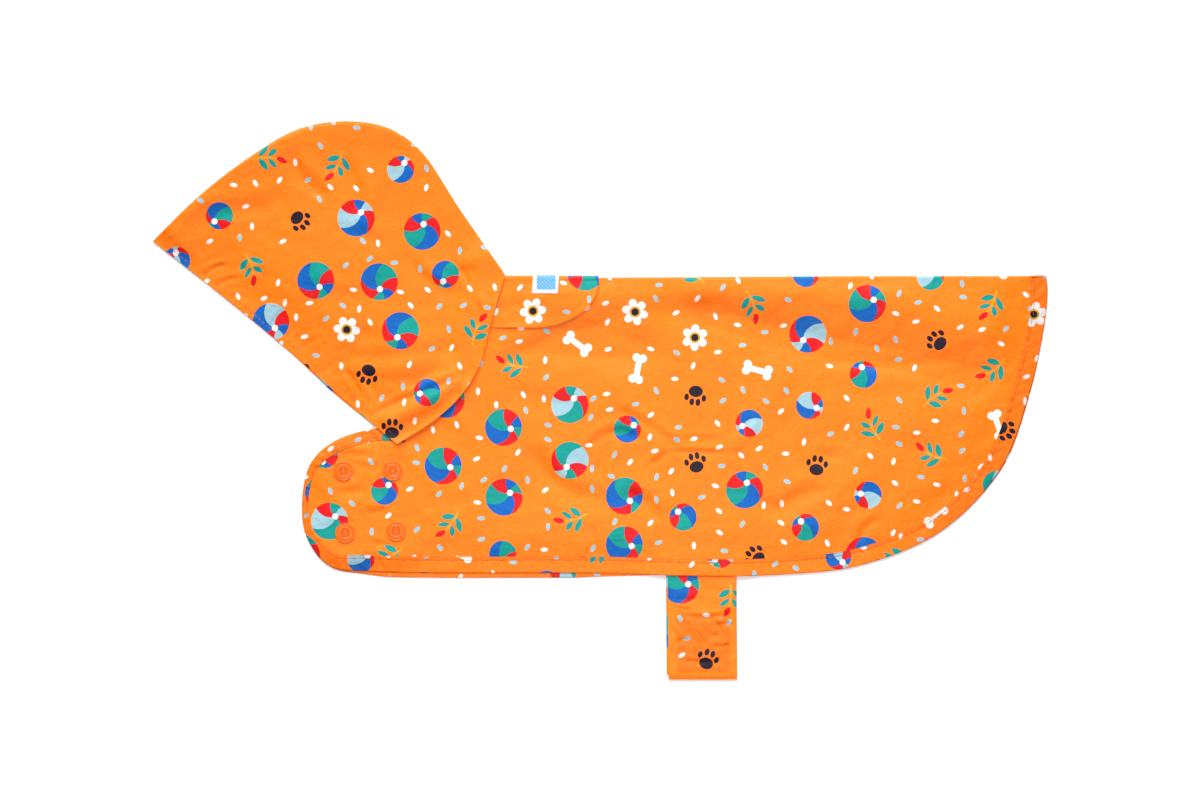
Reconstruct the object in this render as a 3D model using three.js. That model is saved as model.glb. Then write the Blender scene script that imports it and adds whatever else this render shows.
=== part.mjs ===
// A hooded raincoat for a medium dog, folded in half along its spine and laid on its side.
// Millimetres, +Z up. The hood points along -X, the spine lies towards +Y, and the surface
// that the coat rests on is z = 0. "Far" pieces lie on that surface, "near" pieces on top.
import * as THREE from "three";

// Cloth and how its layers stack
const WALL = 1.0;
const GAP = 0.3;
const STEP = WALL + GAP; // from the middle of one layer to the middle of the next
const HALF = WALL / 2;
const FAR_MID = HALF; // middle of a layer that lies on the surface
const NEAR_MID = FAR_MID + STEP; // middle of the layer on it, at a hem
const HEM_EASE = 26; // how far in from a hem the cloth takes to lift off the layer below
const BODY_FULLNESS = 2.2;
const HOOD_FULLNESS = 5.5;
const HOOD_EASE = 46;

// Body: its hem runs from the neck along the chest, round the chest end, under the belly
// and up the tail. Columns x and y.
const HEM = [
  { x: -126, y: -19.8 },
  { x: -146, y: -18.7 },
  { x: -172.4, y: -26.8 },
  { x: -187.7, y: -41.1 },
  { x: -193.2, y: -65 },
  { x: -190.3, y: -88.4 },
  { x: -175.5, y: -107.1 },
  { x: -149.5, y: -110.5 },
  { x: 0, y: -111.8 },
  { x: 65, y: -113.6 },
  { x: 117, y: -112.8 },
  { x: 169, y: -106.6 },
  { x: 221, y: -84.8 },
  { x: 259, y: -45.6 },
  { x: 279, y: 6.4 },
  { x: 289, y: 54 },
  { x: 290.3, y: 71 },
  { x: 289.5, y: 81.2 },
];
// The outer line of the fold along the back. Columns x and y.
const SPINE = [
  { x: -66, y: 80.3 },
  { x: 0, y: 80.1 },
  { x: 170, y: 81.1 },
  { x: 291, y: 81.2 },
];
const CHEST_TOP_CORNER = 62; // millimetres along the hem from the neck
const CHEST_LOW_CORNER = 133;
const TAIL_LENGTH = 190; // from the lower tail corner up to the spine
const CHEST_CELLS = 6; // cells of the body's grid along the chest top
const NECK_CELLS = 10;
const BACK_CELLS = 26;
const NEAR_ROWS = 15;
const FAR_ROWS = 8;
const FOLD_CELLS = 6;
const BACK_BAND = 9; // the first row of cells below the spine
const FAR_BAND = 12; // the far half's outermost cells
const FAR_CHEST_BAND = 7;

// Width of the strip sewn round the hem. Columns along (from the neck) and width.
const STRIP_WIDTH = [
  { along: 0, width: 7.5 },
  { along: 48, width: 7.5 },
  { along: 72, width: 5 },
  { along: 92, width: 3.6 },
  { along: 112, width: 3.6 },
  { along: 132, width: 8 },
  { along: 160, width: 10 },
  { along: 560, width: 11 },
  { along: 760, width: 10 },
];
// How far the far half shows past the near half. Columns along and out.
const FAR_SHOWS = [
  { along: 0, out: -1 },
  { along: 140, out: 0 },
  { along: 178, out: 3.2 },
  { along: 300, out: 3.2 },
  { along: 370, out: -0.6 },
  { along: 545, out: -0.6 },
  { along: 610, out: 1.6 },
  { along: 670, out: 1.4 },
  { along: 710, out: -0.6 },
  { along: 760, out: -0.6 },
];

// Hood: two side panels joined along the crown. Columns x and y.
const NECK = [
  { x: -131.6, y: -28.3 },
  { x: -108.2, y: -13.3 },
  { x: -91, y: 2.3 },
  { x: -78, y: 23.1 },
  { x: -71.2, y: 48.1 },
  { x: -61.5, y: 81.4 },
];
const CROWN = [
  { x: -290.5, y: 103.5 },
  { x: -260, y: 133 },
  { x: -227.5, y: 158.1 },
  { x: -195, y: 176.4 },
  { x: -162.5, y: 181.2 },
  { x: -136.5, y: 176.4 },
  { x: -117, y: 162.5 },
  { x: -91, y: 124 },
  { x: -61.5, y: 81.4 },
];
const OPENING = [
  { x: -290.5, y: 103.5 },
  { x: -241.3, y: 65 },
  { x: -195, y: 26.3 },
  { x: -162.2, y: -2.9 },
  { x: -131.6, y: -28.3 },
];
const FAR_OPENING_SHOWS = 1.9; // the far panel's edge past the near one, over its lower half
const FAR_OPENING_RAMP = 120; // that it takes along the opening to come out so far
const HOOD_CELLS = 26;
const HOOD_ROWS = 16;
const FAR_HOOD_CELLS = 20;
const NECK_LAP = 4; // how far the hood's near panel lies over the body
const NECK_LAP_START = 7; // the lapped neck edge starts this far up the seam
const LAP_ROOM = 14; // the near panel stays lifted this far from what it lies on
const LAP_SLOPE = 20;

// Folds that stand out, as troughs (depth below 0) or ridges along a straight line.
const BODY_FOLDS = [
  { x0: 20, y0: 57, x1: 262, y1: 50, depth: -1.6, width: 13 },
  { x0: 42, y0: -26, x1: 8, y1: 14, depth: 1.1, width: 10 },
  { x0: 92, y0: -26, x1: 118, y1: 10, depth: 0.8, width: 10 },
  { x0: -60, y0: -60, x1: 20, y1: -38, depth: -1.2, width: 14 },
  { x0: 150, y0: -60, x1: 215, y1: -10, depth: 1.2, width: 16 },
];
const HOOD_FOLDS = [
  { x0: -150, y0: -9, x1: -110.5, y1: 6.5, depth: -2.4, width: 7 },
  { x0: -110.5, y0: 6.5, x1: -80, y1: 20, depth: -2.1, width: 8 },
  { x0: -240, y0: 86, x1: -205, y1: 50, depth: -1.6, width: 10 },
  { x0: -132, y0: 132, x1: -112, y1: 60, depth: -1.8, width: 13 },
  { x0: -176, y0: 20, x1: -150, y1: 44, depth: -1.4, width: 9 },
];

// Belly straps, one sewn inside each half
const STRAP_X = 66.2;
const STRAP_WIDTH = 44.6;
const STRAP_TOP = -30;
const STRAP_END = -181.2;
const FAR_STRAP_SHORTER = 3;
const FAR_STRAP_SHIFT = -1.2;
const STRAP_DROP_START = -117; // past both hems the straps come down to the surface
const STRAP_DROP = 14;
const STRAP_ROWS = 16;
const STRAP_CELLS = 3;
const STRAP_ROOM = 14; // the near half stays lifted this far round the straps
const STRAP_SLOPE = 22;

// Leash-hole flap over the spine, its rounded end towards the tail
const FLAP_STRAIGHT_TO = -46;
const FLAP_END = -1;
const FLAP_DEPTH = 31.5; // down each side from the fold's centre
const FLAP_END_DEPTH = 3;
const FLAP_STRAIGHT_CELLS = 3;
const FLAP_ROUND_CELLS = 8;
const FLAP_LEAF_CELLS = 4;
const FLAP_ROOM = 15; // the far half stays lifted this far round the flap's far leaf
const FLAP_SLOPE = 16;

const LABEL = { x0: -43.3, x1: -26.5, depth: 9.2, columns: 3, rows: 2 };

// Snap fasteners of the chest flaps. Columns x and y.
const SNAPS = [
  { x: -166.6, y: -46 },
  { x: -134.6, y: -45.8 },
  { x: -165.4, y: -86.1 },
  { x: -132.4, y: -85 },
];
const SNAP_RADIUS = 6.5;
const STUD_RADIUS = 5;
const STUD_HEIGHT = 1.8;
const STUD_ROOM = 14; // the near chest flap stays lifted this far round a stud
const STUD_SLOPE = 13;
const CHEST_MID = NEAR_MID + BODY_FULLNESS; // clears a stud on the far chest flap
// Columns r and z of the cap's half section: a rim, a groove, a ring and a dimple.
const CAP_PROFILE = [
  { r: 0, z: 0 },
  { r: SNAP_RADIUS, z: 0 },
  { r: SNAP_RADIUS, z: 0.6 },
  { r: 5.8, z: 1.2 },
  { r: 5.0, z: 1.2 },
  { r: 4.6, z: 0.8 },
  { r: 3.3, z: 0.8 },
  { r: 2.8, z: 1.3 },
  { r: 1.7, z: 1.3 },
  { r: 1.2, z: 0.8 },
  { r: 0, z: 0.7 },
];
const STUD_PROFILE = [
  { r: 0, z: 0 },
  { r: STUD_RADIUS, z: 0 },
  { r: STUD_RADIUS, z: 0.8 },
  { r: 2.2, z: 0.9 },
  { r: 1.9, z: STUD_HEIGHT },
  { r: 0, z: STUD_HEIGHT },
];

const CAP_SIDES = 20;
const STUD_SIDES = 14;

const ORANGE = 0xff9128;
const DEEP_ORANGE = 0xff6a2a;
const WHITE = 0xf4f4f0;
const CLOTH_ROUGHNESS = 0.8;
const PLASTIC_ROUGHNESS = 0.4;

// Curves
function curveThrough(rows) {
  const points = rows.map((row) => new THREE.Vector3(row.x, row.y, 0));
  const curve = new THREE.CatmullRomCurve3(points, false, "centripetal");
  curve.arcLengthDivisions = 1000;
  return curve;
}

function pointAlong(curve, along) {
  const share = THREE.MathUtils.clamp(along / curve.getLength(), 0, 1);
  return curve.getPointAt(share);
}

// Points at even steps of a curve between two distances along it.
function stations(curve, from, to, cells) {
  return Array.from({ length: cells + 1 }, (_, k) =>
    pointAlong(curve, mix(from, to, k / cells)),
  );
}

// A value read from a table, straight between its rows.
function lookUp(table, key, value, at) {
  const last = table.length - 1;
  const next = table.findIndex((row) => row[key] > at);
  if (next === 0) return table[0][value];
  if (next < 0) return table[last][value];
  const [a, b] = [table[next - 1], table[next]];
  const share = (at - a[key]) / (b[key] - a[key]);
  return a[value] + (b[value] - a[value]) * share;
}

const smooth = (t) => THREE.MathUtils.smoothstep(t, 0, 1);
const mix = THREE.MathUtils.lerp;

function distanceToSegment(x, y, fold) {
  const dx = fold.x1 - fold.x0;
  const dy = fold.y1 - fold.y0;
  const share = ((x - fold.x0) * dx + (y - fold.y0) * dy) / (dx * dx + dy * dy);
  const t = THREE.MathUtils.clamp(share, 0, 1);
  return Math.hypot(x - fold.x0 - t * dx, y - fold.y0 - t * dy);
}

function distanceToLine(points, x, y) {
  let least = Infinity;
  for (let k = 1; k < points.length; k += 1) {
    const [a, b] = [points[k - 1], points[k]];
    const part = { x0: a.x, y0: a.y, x1: b.x, y1: b.y };
    least = Math.min(least, distanceToSegment(x, y, part));
  }
  return least;
}

function foldsAt(folds, x, y) {
  let height = 0;
  for (const fold of folds) {
    const across = distanceToSegment(x, y, fold) / fold.width;
    height += fold.depth * Math.exp(-across * across);
  }
  return height;
}

// Distance outside a rectangle, 0 inside it.
function outside(x, y, box) {
  const dx = Math.max(box.x0 - x, 0, x - box.x1);
  const dy = Math.max(box.y0 - y, 0, y - box.y1);
  return Math.hypot(dx, dy);
}

const hem = curveThrough(HEM);
const neck = curveThrough(NECK);
const crown = curveThrough(CROWN);
const opening = curveThrough(OPENING);
const hemLength = hem.getLength();
const tailCorner = hemLength - TAIL_LENGTH;
const hemLine = hem.getPoints(150);
const chestTopLine = stations(hem, 0, CHEST_TOP_CORNER, 20);
const neckLine = neck.getPoints(50);
const hoodLines = [crown.getPoints(90), neckLine, opening.getPoints(40)];

// Heights of the cloth's middle
const strapBox = {
  x0: STRAP_X - STRAP_WIDTH / 2,
  x1: STRAP_X + STRAP_WIDTH / 2,
  y0: STRAP_END,
  y1: STRAP_TOP,
};
const OVER_STRAPS = FAR_MID + 3 * STEP;

function nearZ(x, y) {
  const inward = smooth(distanceToLine(hemLine, x, y) / HEM_EASE);
  let z = NEAR_MID + inward * (BODY_FULLNESS + foldsAt(BODY_FOLDS, x, y));
  const fromStrap = outside(x, y, strapBox) - STRAP_ROOM;
  z = Math.max(z, mix(OVER_STRAPS, NEAR_MID, smooth(fromStrap / STRAP_SLOPE)));
  for (const snap of SNAPS) {
    const fromStud = Math.hypot(x - snap.x, y - snap.y) - STUD_ROOM;
    z = mix(CHEST_MID, z, smooth(fromStud / STUD_SLOPE));
  }
  return z;
}

const flapBox = {
  x0: NECK[0].x,
  x1: FLAP_END,
  y0: SPINE[0].y - FLAP_DEPTH,
  y1: SPINE[0].y,
};

function farZ(x, y) {
  const fromFlap = outside(x, y, flapBox) - FLAP_ROOM;
  return mix(FAR_MID + STEP, FAR_MID, smooth(fromFlap / FLAP_SLOPE));
}

// The fold over the spine is half a circle in each cross-section: its centre and radius.
// The radius moves the centre and the centre sets the radius, so a few tries settle both.
function spineFold(x) {
  const top = lookUp(SPINE, "x", "y", x);
  const low = farZ(x, top);
  let radius = STEP;
  for (let tries = 0; tries < 4; tries += 1) {
    radius = (nearZ(x, top - HALF - radius) - low) / 2;
  }
  return { y: top - HALF - radius, z: low + radius, radius };
}

function foldPoint(x, angle, out) {
  const fold = spineFold(x);
  const reach = fold.radius + out;
  return new THREE.Vector3(
    x,
    fold.y + reach * Math.cos(angle),
    fold.z + reach * Math.sin(angle),
  );
}

const foldAngle = (k) => Math.PI / 2 - (Math.PI * k) / FOLD_CELLS;

function hoodZ(x, y) {
  const toEdge = Math.min(...hoodLines.map((line) => distanceToLine(line, x, y)));
  const inward = smooth(toEdge / HOOD_EASE);
  const free = NEAR_MID + inward * (HOOD_FULLNESS + foldsAt(HOOD_FOLDS, x, y));
  // On the body, and on the strip at the chest's top, the panel is a layer higher.
  const toStrip = distanceToLine(chestTopLine, x, y) - LAP_ROOM;
  const onStrip = 1 - smooth(toStrip / LAP_SLOPE);
  const onBody = nearZ(x, y) + STEP + STEP * onStrip;
  const toNeck = distanceToLine(neckLine, x, y) - LAP_ROOM;
  return Math.max(free, mix(onBody, NEAR_MID, smooth(toNeck / LAP_SLOPE)));
}

// Sheets: grid[i][j] holds the points of the cloth's middle, and a cell holds 4 of them,
// anticlockwise as seen from the side that the cloth's outside faces.
function cellsOf(grid) {
  const cells = [];
  for (let i = 1; i < grid.length; i += 1) {
    for (let j = 1; j < grid[i].length; j += 1) {
      const [a, b] = [grid[i - 1], grid[i]];
      cells.push([a[j - 1], b[j - 1], b[j], a[j]]);
    }
  }
  return cells;
}

function normalsOf(cells) {
  const normals = new Map();
  for (const [a, b, c, d] of cells) {
    const across = c.clone().sub(a).cross(d.clone().sub(b));
    for (const point of new Set([a, b, c, d])) {
      if (!normals.has(point)) normals.set(point, new THREE.Vector3());
      normals.get(point).add(across);
    }
  }
  for (const normal of normals.values()) normal.normalize();
  return normals;
}

// A closed wall on the cells: two skins, low and high along the cloth's own normal,
// joined round every free edge.
function wall(cells, normals, low, high) {
  const order = new Map();
  for (const cell of cells) {
    for (const point of cell) {
      if (!order.has(point)) order.set(point, order.size);
    }
  }
  const count = order.size;
  const positions = new Float32Array(count * 6);
  for (const [point, k] of order) {
    [low, high].forEach((out, skin) => {
      const moved = point.clone().addScaledVector(normals.get(point), out);
      moved.z = Math.max(moved.z, 0);
      moved.toArray(positions, 3 * (k + skin * count));
    });
  }
  const faces = [];
  const addFace = (a, b, c) => {
    if (a !== b && b !== c && a !== c) faces.push(a, b, c);
  };
  const edges = new Map();
  for (const cell of cells) {
    const [a, b, c, d] = cell.map((point) => order.get(point));
    addFace(a + count, b + count, c + count);
    addFace(a + count, c + count, d + count);
    addFace(c, b, a);
    addFace(d, c, a);
    for (const [from, to] of [[a, b], [b, c], [c, d], [d, a]]) {
      if (from === to) continue;
      if (edges.has(`${to}>${from}`)) edges.delete(`${to}>${from}`);
      else edges.set(`${from}>${to}`, [from, to]);
    }
  }
  for (const [from, to] of edges.values()) {
    addFace(from, to, to + count);
    addFace(from, to + count, from + count);
  }
  const geometry = new THREE.BufferGeometry();
  geometry.setAttribute("position", new THREE.BufferAttribute(positions, 3));
  geometry.setIndex(faces);
  return geometry;
}

const sheetWall = (cells) => wall(cells, normalsOf(cells), -HALF, HALF);

// A patch between four sides that share their corners: bottom and top run left to right,
// left and right run upwards.
function patchPoint(sides, i, j) {
  const { bottom, top, left, right } = sides;
  const u = i / (bottom.length - 1);
  const v = j / (left.length - 1);
  const last = bottom.length - 1;
  const point = new THREE.Vector3();
  point.addScaledVector(bottom[i], 1 - v);
  point.addScaledVector(top[i], v);
  point.addScaledVector(left[j], 1 - u);
  point.addScaledVector(right[j], u);
  point.addScaledVector(bottom[0], -(1 - u) * (1 - v));
  point.addScaledVector(bottom[last], -u * (1 - v));
  point.addScaledVector(top[0], -(1 - u) * v);
  point.addScaledVector(top[last], -u * v);
  return point;
}

// The point beside `here`, to the left of the way from `before` to `after`.
function beside(before, here, after, distance) {
  const way = after.clone().sub(before).setZ(0).normalize();
  return new THREE.Vector3(
    here.x - way.y * distance,
    here.y + way.x * distance,
    0,
  );
}

// A patch whose outermost cells are a band of the widths given for each side.
function bandedPatch(sides, bands) {
  const { bottom, top, left, right } = sides;
  const [m, n] = [bottom.length - 1, left.length - 1];
  const ringBottom = [];
  const ringTop = [];
  for (let i = 2; i <= m - 2; i += 1) {
    ringBottom.push(
      beside(bottom[i - 1], bottom[i], bottom[i + 1], bands.bottom(i)),
    );
    ringTop.push(beside(top[i + 1], top[i], top[i - 1], bands.top(i)));
  }
  const ringLeft = [];
  const ringRight = [];
  for (let j = 2; j <= n - 2; j += 1) {
    ringLeft.push(beside(left[j + 1], left[j], left[j - 1], bands.left(j)));
    ringRight.push(
      beside(right[j - 1], right[j], right[j + 1], bands.right(j)),
    );
  }
  const lowLeft = beside(left[1], bottom[0], bottom[1], bands.left(0));
  const lowRight = beside(bottom[m - 1], bottom[m], right[1], bands.right(0));
  const highLeft = beside(top[1], top[0], left[n - 1], bands.left(n));
  const inwards = new THREE.Vector3(-bands.right(n), -bands.top(m), 0);
  const highRight = top[m].clone().add(inwards);
  const ring = {
    bottom: [lowLeft, ...ringBottom, lowRight],
    top: [highLeft, ...ringTop, highRight],
    left: [lowLeft, ...ringLeft, highLeft],
    right: [lowRight, ...ringRight, highRight],
  };
  const grid = [];
  for (let i = 0; i <= m; i += 1) {
    grid.push([]);
    for (let j = 0; j <= n; j += 1) {
      if (j === 0) grid[i].push(bottom[i]);
      else if (j === n) grid[i].push(top[i]);
      else if (i === 0) grid[i].push(left[j]);
      else if (i === m) grid[i].push(right[j]);
      else grid[i].push(patchPoint(ring, i - 1, j - 1));
    }
  }
  return grid;
}

// Body
const TOP_CELLS = CHEST_CELLS + NECK_CELLS + BACK_CELLS;
const BACK_START = CHEST_CELLS + NECK_CELLS; // the column where the spine begins

// Stations beside a curve, moved to its right by what `shift` says for each distance along.
function shiftedStations(curve, from, to, cells, shift) {
  return stations(curve, from, to, cells).map((point, k) => {
    const along = mix(from, to, k / cells);
    const [before, after] = [pointAlong(curve, along - 1), pointAlong(curve, along + 1)];
    return beside(after, point, before, shift(along));
  });
}

// The four sides of a half: its stations along the hem, the chest top, the neck and the
// spine. `shift` moves it out past the hem's curve.
function bodySides(rows, chestTop, neckEdge, shift) {
  const side = (from, to, cells) => shiftedStations(hem, from, to, cells, shift);
  const left = side(CHEST_LOW_CORNER, CHEST_TOP_CORNER, rows);
  const right = side(tailCorner, hemLength, rows);
  const bottom = side(CHEST_LOW_CORNER, tailCorner, TOP_CELLS);
  const back = [];
  const start = neckEdge[NECK_CELLS].x;
  const end = right[rows].x;
  for (let k = 1; k <= BACK_CELLS; k += 1) {
    const x = mix(start, end, k / BACK_CELLS);
    back.push(new THREE.Vector3(x, spineFold(x).y, 0));
  }
  neckEdge[NECK_CELLS].y = spineFold(start).y;
  right[rows] = back[BACK_CELLS - 1];
  bottom[0] = left[0];
  bottom[TOP_CELLS] = right[0];
  chestTop[0] = left[rows];
  const top = [...chestTop.slice(0, -1), ...neckEdge, ...back];
  return { bottom, top, left, right };
}

function lift(grid, height) {
  for (const point of new Set(grid.flat())) point.z = height(point.x, point.y);
  return grid;
}

// Points beside the neck seam, on the hood's side (below 0) or the body's (above 0).
function besideNeck(from, shift) {
  return shiftedStations(neck, from, neck.getLength(), NECK_CELLS, () => shift);
}

function nearBody() {
  const chestTop = stations(hem, CHEST_TOP_CORNER, 0, CHEST_CELLS);
  const lapped = besideNeck(NECK_LAP_START, -NECK_LAP);
  lapped[0] = chestTop[CHEST_CELLS];
  const sides = bodySides(NEAR_ROWS, chestTop, lapped, () => 0);
  const width = (along) => lookUp(STRIP_WIDTH, "along", "width", along);
  const bands = {
    bottom: (i) => width(mix(CHEST_LOW_CORNER, tailCorner, i / TOP_CELLS)),
    left: (j) =>
      width(mix(CHEST_LOW_CORNER, CHEST_TOP_CORNER, j / NEAR_ROWS)),
    right: (j) => width(mix(tailCorner, hemLength, j / NEAR_ROWS)),
    top: (i) =>
      i < CHEST_CELLS
        ? width(mix(CHEST_TOP_CORNER, 0, i / CHEST_CELLS))
        : BACK_BAND,
  };
  return lift(bandedPatch(sides, bands), nearZ);
}

function farBody() {
  const seam = besideNeck(0, GAP / 2);
  const corner = pointAlong(hem, CHEST_TOP_CORNER);
  const chestTop = Array.from({ length: CHEST_CELLS + 1 }, (_, k) =>
    corner.clone().lerp(seam[0], k / CHEST_CELLS),
  );
  const shows = (along) => lookUp(FAR_SHOWS, "along", "out", along);
  const sides = bodySides(FAR_ROWS, chestTop, seam, shows);
  const bands = {
    bottom: () => FAR_BAND,
    left: () => FAR_CHEST_BAND,
    right: () => FAR_BAND,
    top: () => FAR_BAND,
  };
  return lift(bandedPatch(sides, bands), farZ);
}

const near = nearBody();
const far = farBody();

function foldGrid() {
  const columns = [];
  for (let i = BACK_START; i <= TOP_CELLS; i += 1) {
    const [start, end] = [near[i][NEAR_ROWS], far[i][FAR_ROWS]];
    const column = [start];
    for (let k = 1; k < FOLD_CELLS; k += 1) {
      const x = mix(start.x, end.x, k / FOLD_CELLS);
      column.push(foldPoint(x, foldAngle(k), 0));
    }
    columns.push([...column, end]);
  }
  return columns;
}

const fold = foldGrid();
const turned = (cells) => cells.map(([a, b, c, d]) => [d, c, b, a]);
const nearCells = cellsOf(near);
const bodyCells = [...nearCells, ...cellsOf(fold), ...turned(cellsOf(far))];
const bodyNormals = normalsOf(bodyCells);

// The strip round the near hem lies on the body's outermost cells, from under the hood
// round to the top of the spine.
function stripCells() {
  const cells = [];
  for (let i = 1; i <= TOP_CELLS; i += 1) {
    for (let j = 1; j <= NEAR_ROWS; j += 1) {
      const onChestTop = j === NEAR_ROWS && i < CHEST_CELLS;
      const onHem = i === 1 || i === TOP_CELLS || j === 1 || onChestTop;
      if (onHem) cells.push(nearCells[(i - 1) * NEAR_ROWS + j - 1]);
    }
  }
  const tail = cellsOf(fold.slice(-2));
  return [...cells, ...tail.slice(0, FOLD_CELLS / 2)];
}

// Hood: rows of points from the opening's edge to the crown, and a last row on the neck.
function hoodGrid(edge, neckEdge, columns, rows) {
  const bottom = stations(edge, 0, edge.getLength(), columns);
  const top = stations(crown, 0, crown.getLength(), columns);
  const tip = bottom[0];
  top[0] = tip;
  bottom[columns] = neckEdge[0];
  top[columns] = neckEdge[rows];
  const left = Array.from({ length: rows + 1 }, () => tip);
  const sides = { bottom, top, left, right: neckEdge };
  const grid = [];
  for (let i = 0; i <= columns; i += 1) {
    grid.push([]);
    for (let j = 0; j <= rows; j += 1) {
      if (i === 0) grid[i].push(tip);
      else if (i === columns) grid[i].push(neckEdge[j]);
      else grid[i].push(patchPoint(sides, i, j));
    }
  }
  return grid;
}

function nearHood() {
  const neckEdge = stations(neck, 0, neck.getLength(), HOOD_ROWS);
  return lift(hoodGrid(opening, neckEdge, HOOD_CELLS, HOOD_ROWS), hoodZ);
}

function farHood() {
  const seam = besideNeck(0, -GAP / 2);
  const length = opening.getLength();
  const shows = (along) => FAR_OPENING_SHOWS * smooth(along / FAR_OPENING_RAMP);
  const edgeRows = shiftedStations(opening, 0, length, OPENING.length - 1, shows);
  edgeRows[OPENING.length - 1] = seam[0];
  const edge = curveThrough(edgeRows);
  const grid = hoodGrid(edge, seam, FAR_HOOD_CELLS, NECK_CELLS);
  return lift(grid, () => FAR_MID);
}

// Straps: rows of points from the sewn end inside down to the free end.
function strap(layer, end, shift) {
  const rows = [];
  for (let k = 0; k <= STRAP_ROWS; k += 1) {
    const y = mix(end, STRAP_TOP, k / STRAP_ROWS);
    const inside = smooth((y - STRAP_DROP_START + STRAP_DROP) / STRAP_DROP);
    const z = FAR_MID + (layer - 1) * STEP + STEP * inside;
    rows.push({ y, z });
  }
  const columns = [];
  for (let c = 0; c <= STRAP_CELLS; c += 1) {
    const x = STRAP_X + shift + STRAP_WIDTH * (c / STRAP_CELLS - 0.5);
    columns.push(rows.map((row) => new THREE.Vector3(x, row.y, row.z)));
  }
  return cellsOf(columns);
}

// Points on the near half, raised by `out`, from `depth` below the fold up to its start.
function leafPoints(x, depth, cells, out) {
  const spine = spineFold(x);
  return Array.from({ length: cells }, (_, k) => {
    const y = spine.y - depth * (1 - k / cells);
    return new THREE.Vector3(x, y, nearZ(x, y) + out);
  });
}

function foldPoints(x, cells, out) {
  return Array.from({ length: cells + 1 }, (_, k) => foldPoint(x, foldAngle(k), out));
}

// Flap: each column of points runs from the near edge over the spine to the far edge.
function flapColumn(x, depth) {
  const column = leafPoints(x, depth, FLAP_LEAF_CELLS, STEP);
  column.push(...foldPoints(x, FOLD_CELLS, STEP));
  const spine = spineFold(x);
  for (let k = 1; k <= FLAP_LEAF_CELLS; k += 1) {
    const y = spine.y - (depth * k) / FLAP_LEAF_CELLS;
    column.push(new THREE.Vector3(x, y, farZ(x, y) - STEP));
  }
  return column;
}

// The neck seam's x at a height y.
function neckX(y) {
  const next = neckLine.findIndex((point) => point.y > y);
  if (next < 1) return neckLine[neckLine.length - 1].x;
  const [a, b] = [neckLine[next - 1], neckLine[next]];
  return mix(a.x, b.x, (y - a.y) / (b.y - a.y));
}

function flap() {
  const columns = [];
  for (let k = 0; k <= FLAP_STRAIGHT_CELLS; k += 1) {
    const share = k / FLAP_STRAIGHT_CELLS;
    const x = mix(NECK[NECK.length - 1].x, FLAP_STRAIGHT_TO, share);
    const column = flapColumn(x, FLAP_DEPTH);
    for (const point of column) {
      point.x = mix(neckX(point.y) + 2 * GAP, FLAP_STRAIGHT_TO, share);
    }
    columns.push(column);
  }
  for (let k = 1; k <= FLAP_ROUND_CELLS; k += 1) {
    const angle = (Math.PI / 2) * (k / FLAP_ROUND_CELLS);
    const x = mix(FLAP_STRAIGHT_TO, FLAP_END, Math.sin(angle));
    const depth = mix(FLAP_END_DEPTH, FLAP_DEPTH, Math.cos(angle));
    columns.push(flapColumn(x, depth));
  }
  return cellsOf(columns);
}

// Label: on the flap's near side, from the fold's outermost line down.
function label() {
  const columns = Array.from({ length: LABEL.columns + 1 }, (_, c) => {
    const x = mix(LABEL.x0, LABEL.x1, c / LABEL.columns);
    const leaf = leafPoints(x, LABEL.depth, LABEL.rows, 2 * STEP);
    return [...leaf, ...foldPoints(x, FOLD_CELLS / 2, 2 * STEP)];
  });
  return cellsOf(columns);
}

function turnedRound(profile, segments) {
  const points = profile.map((row) => new THREE.Vector2(row.r, row.z));
  return new THREE.LatheGeometry(points, segments).rotateX(Math.PI / 2);
}

const raincoat = new THREE.Group();

function add(name, geometry, color, roughness = CLOTH_ROUGHNESS) {
  const material = new THREE.MeshStandardMaterial({ color, roughness });
  const mesh = new THREE.Mesh(geometry, material);
  mesh.name = name;
  raincoat.add(mesh);
  return mesh;
}

add("body", sheetWall(bodyCells), ORANGE);
add(
  "hem_strip",
  wall(stripCells(), bodyNormals, HALF + GAP, HALF + GAP + WALL),
  DEEP_ORANGE,
);
add("hood_near", sheetWall(cellsOf(nearHood())), ORANGE);
add("hood_far", sheetWall(cellsOf(farHood())), ORANGE);
add("flap", sheetWall(flap()), ORANGE);
add("label", sheetWall(label()), WHITE);
add("strap_near", sheetWall(strap(2, STRAP_END, 0)), ORANGE);
add(
  "strap_far",
  sheetWall(strap(1, STRAP_END + FAR_STRAP_SHORTER, FAR_STRAP_SHIFT)),
  ORANGE,
);
SNAPS.forEach((snap, k) => {
  const cap = turnedRound(CAP_PROFILE, CAP_SIDES);
  const stud = turnedRound(STUD_PROFILE, STUD_SIDES);
  const capMesh = add(`snap_cap_${k + 1}`, cap, DEEP_ORANGE, PLASTIC_ROUGHNESS);
  const studMesh = add(`snap_stud_${k + 1}`, stud, DEEP_ORANGE, PLASTIC_ROUGHNESS);
  capMesh.position.set(snap.x, snap.y, CHEST_MID + HALF + GAP);
  studMesh.position.set(snap.x, snap.y, FAR_MID + HALF + GAP);
});

export default raincoat;
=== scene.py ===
# %% [markdown]
# # A hooded dog raincoat, laid flat
#
# A raincoat for a dog is cut from a thin coated polyester: one body piece that is folded along
# the dog's back, two hood panels, a flap over the leash hole, two belly straps and a strip round
# the hem. Laid on its side it is a stack of sheets that is a few millimetres high. So the whole
# lesson is about sheets: a grid is made with one operator, its vertices are moved to where the
# cloth lies, soft folds are pressed into it, and a Solidify modifier gives it a wall.
#
# First the frame is loaded, which is the plain solid model. Every piece below takes the place of
# one of its nodes.

# %% The frame and the tools
import math

import bmesh
import bpy
import numpy as np
from mathutils import Matrix, Vector
from mathutils.geometry import interpolate_bezier


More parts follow.
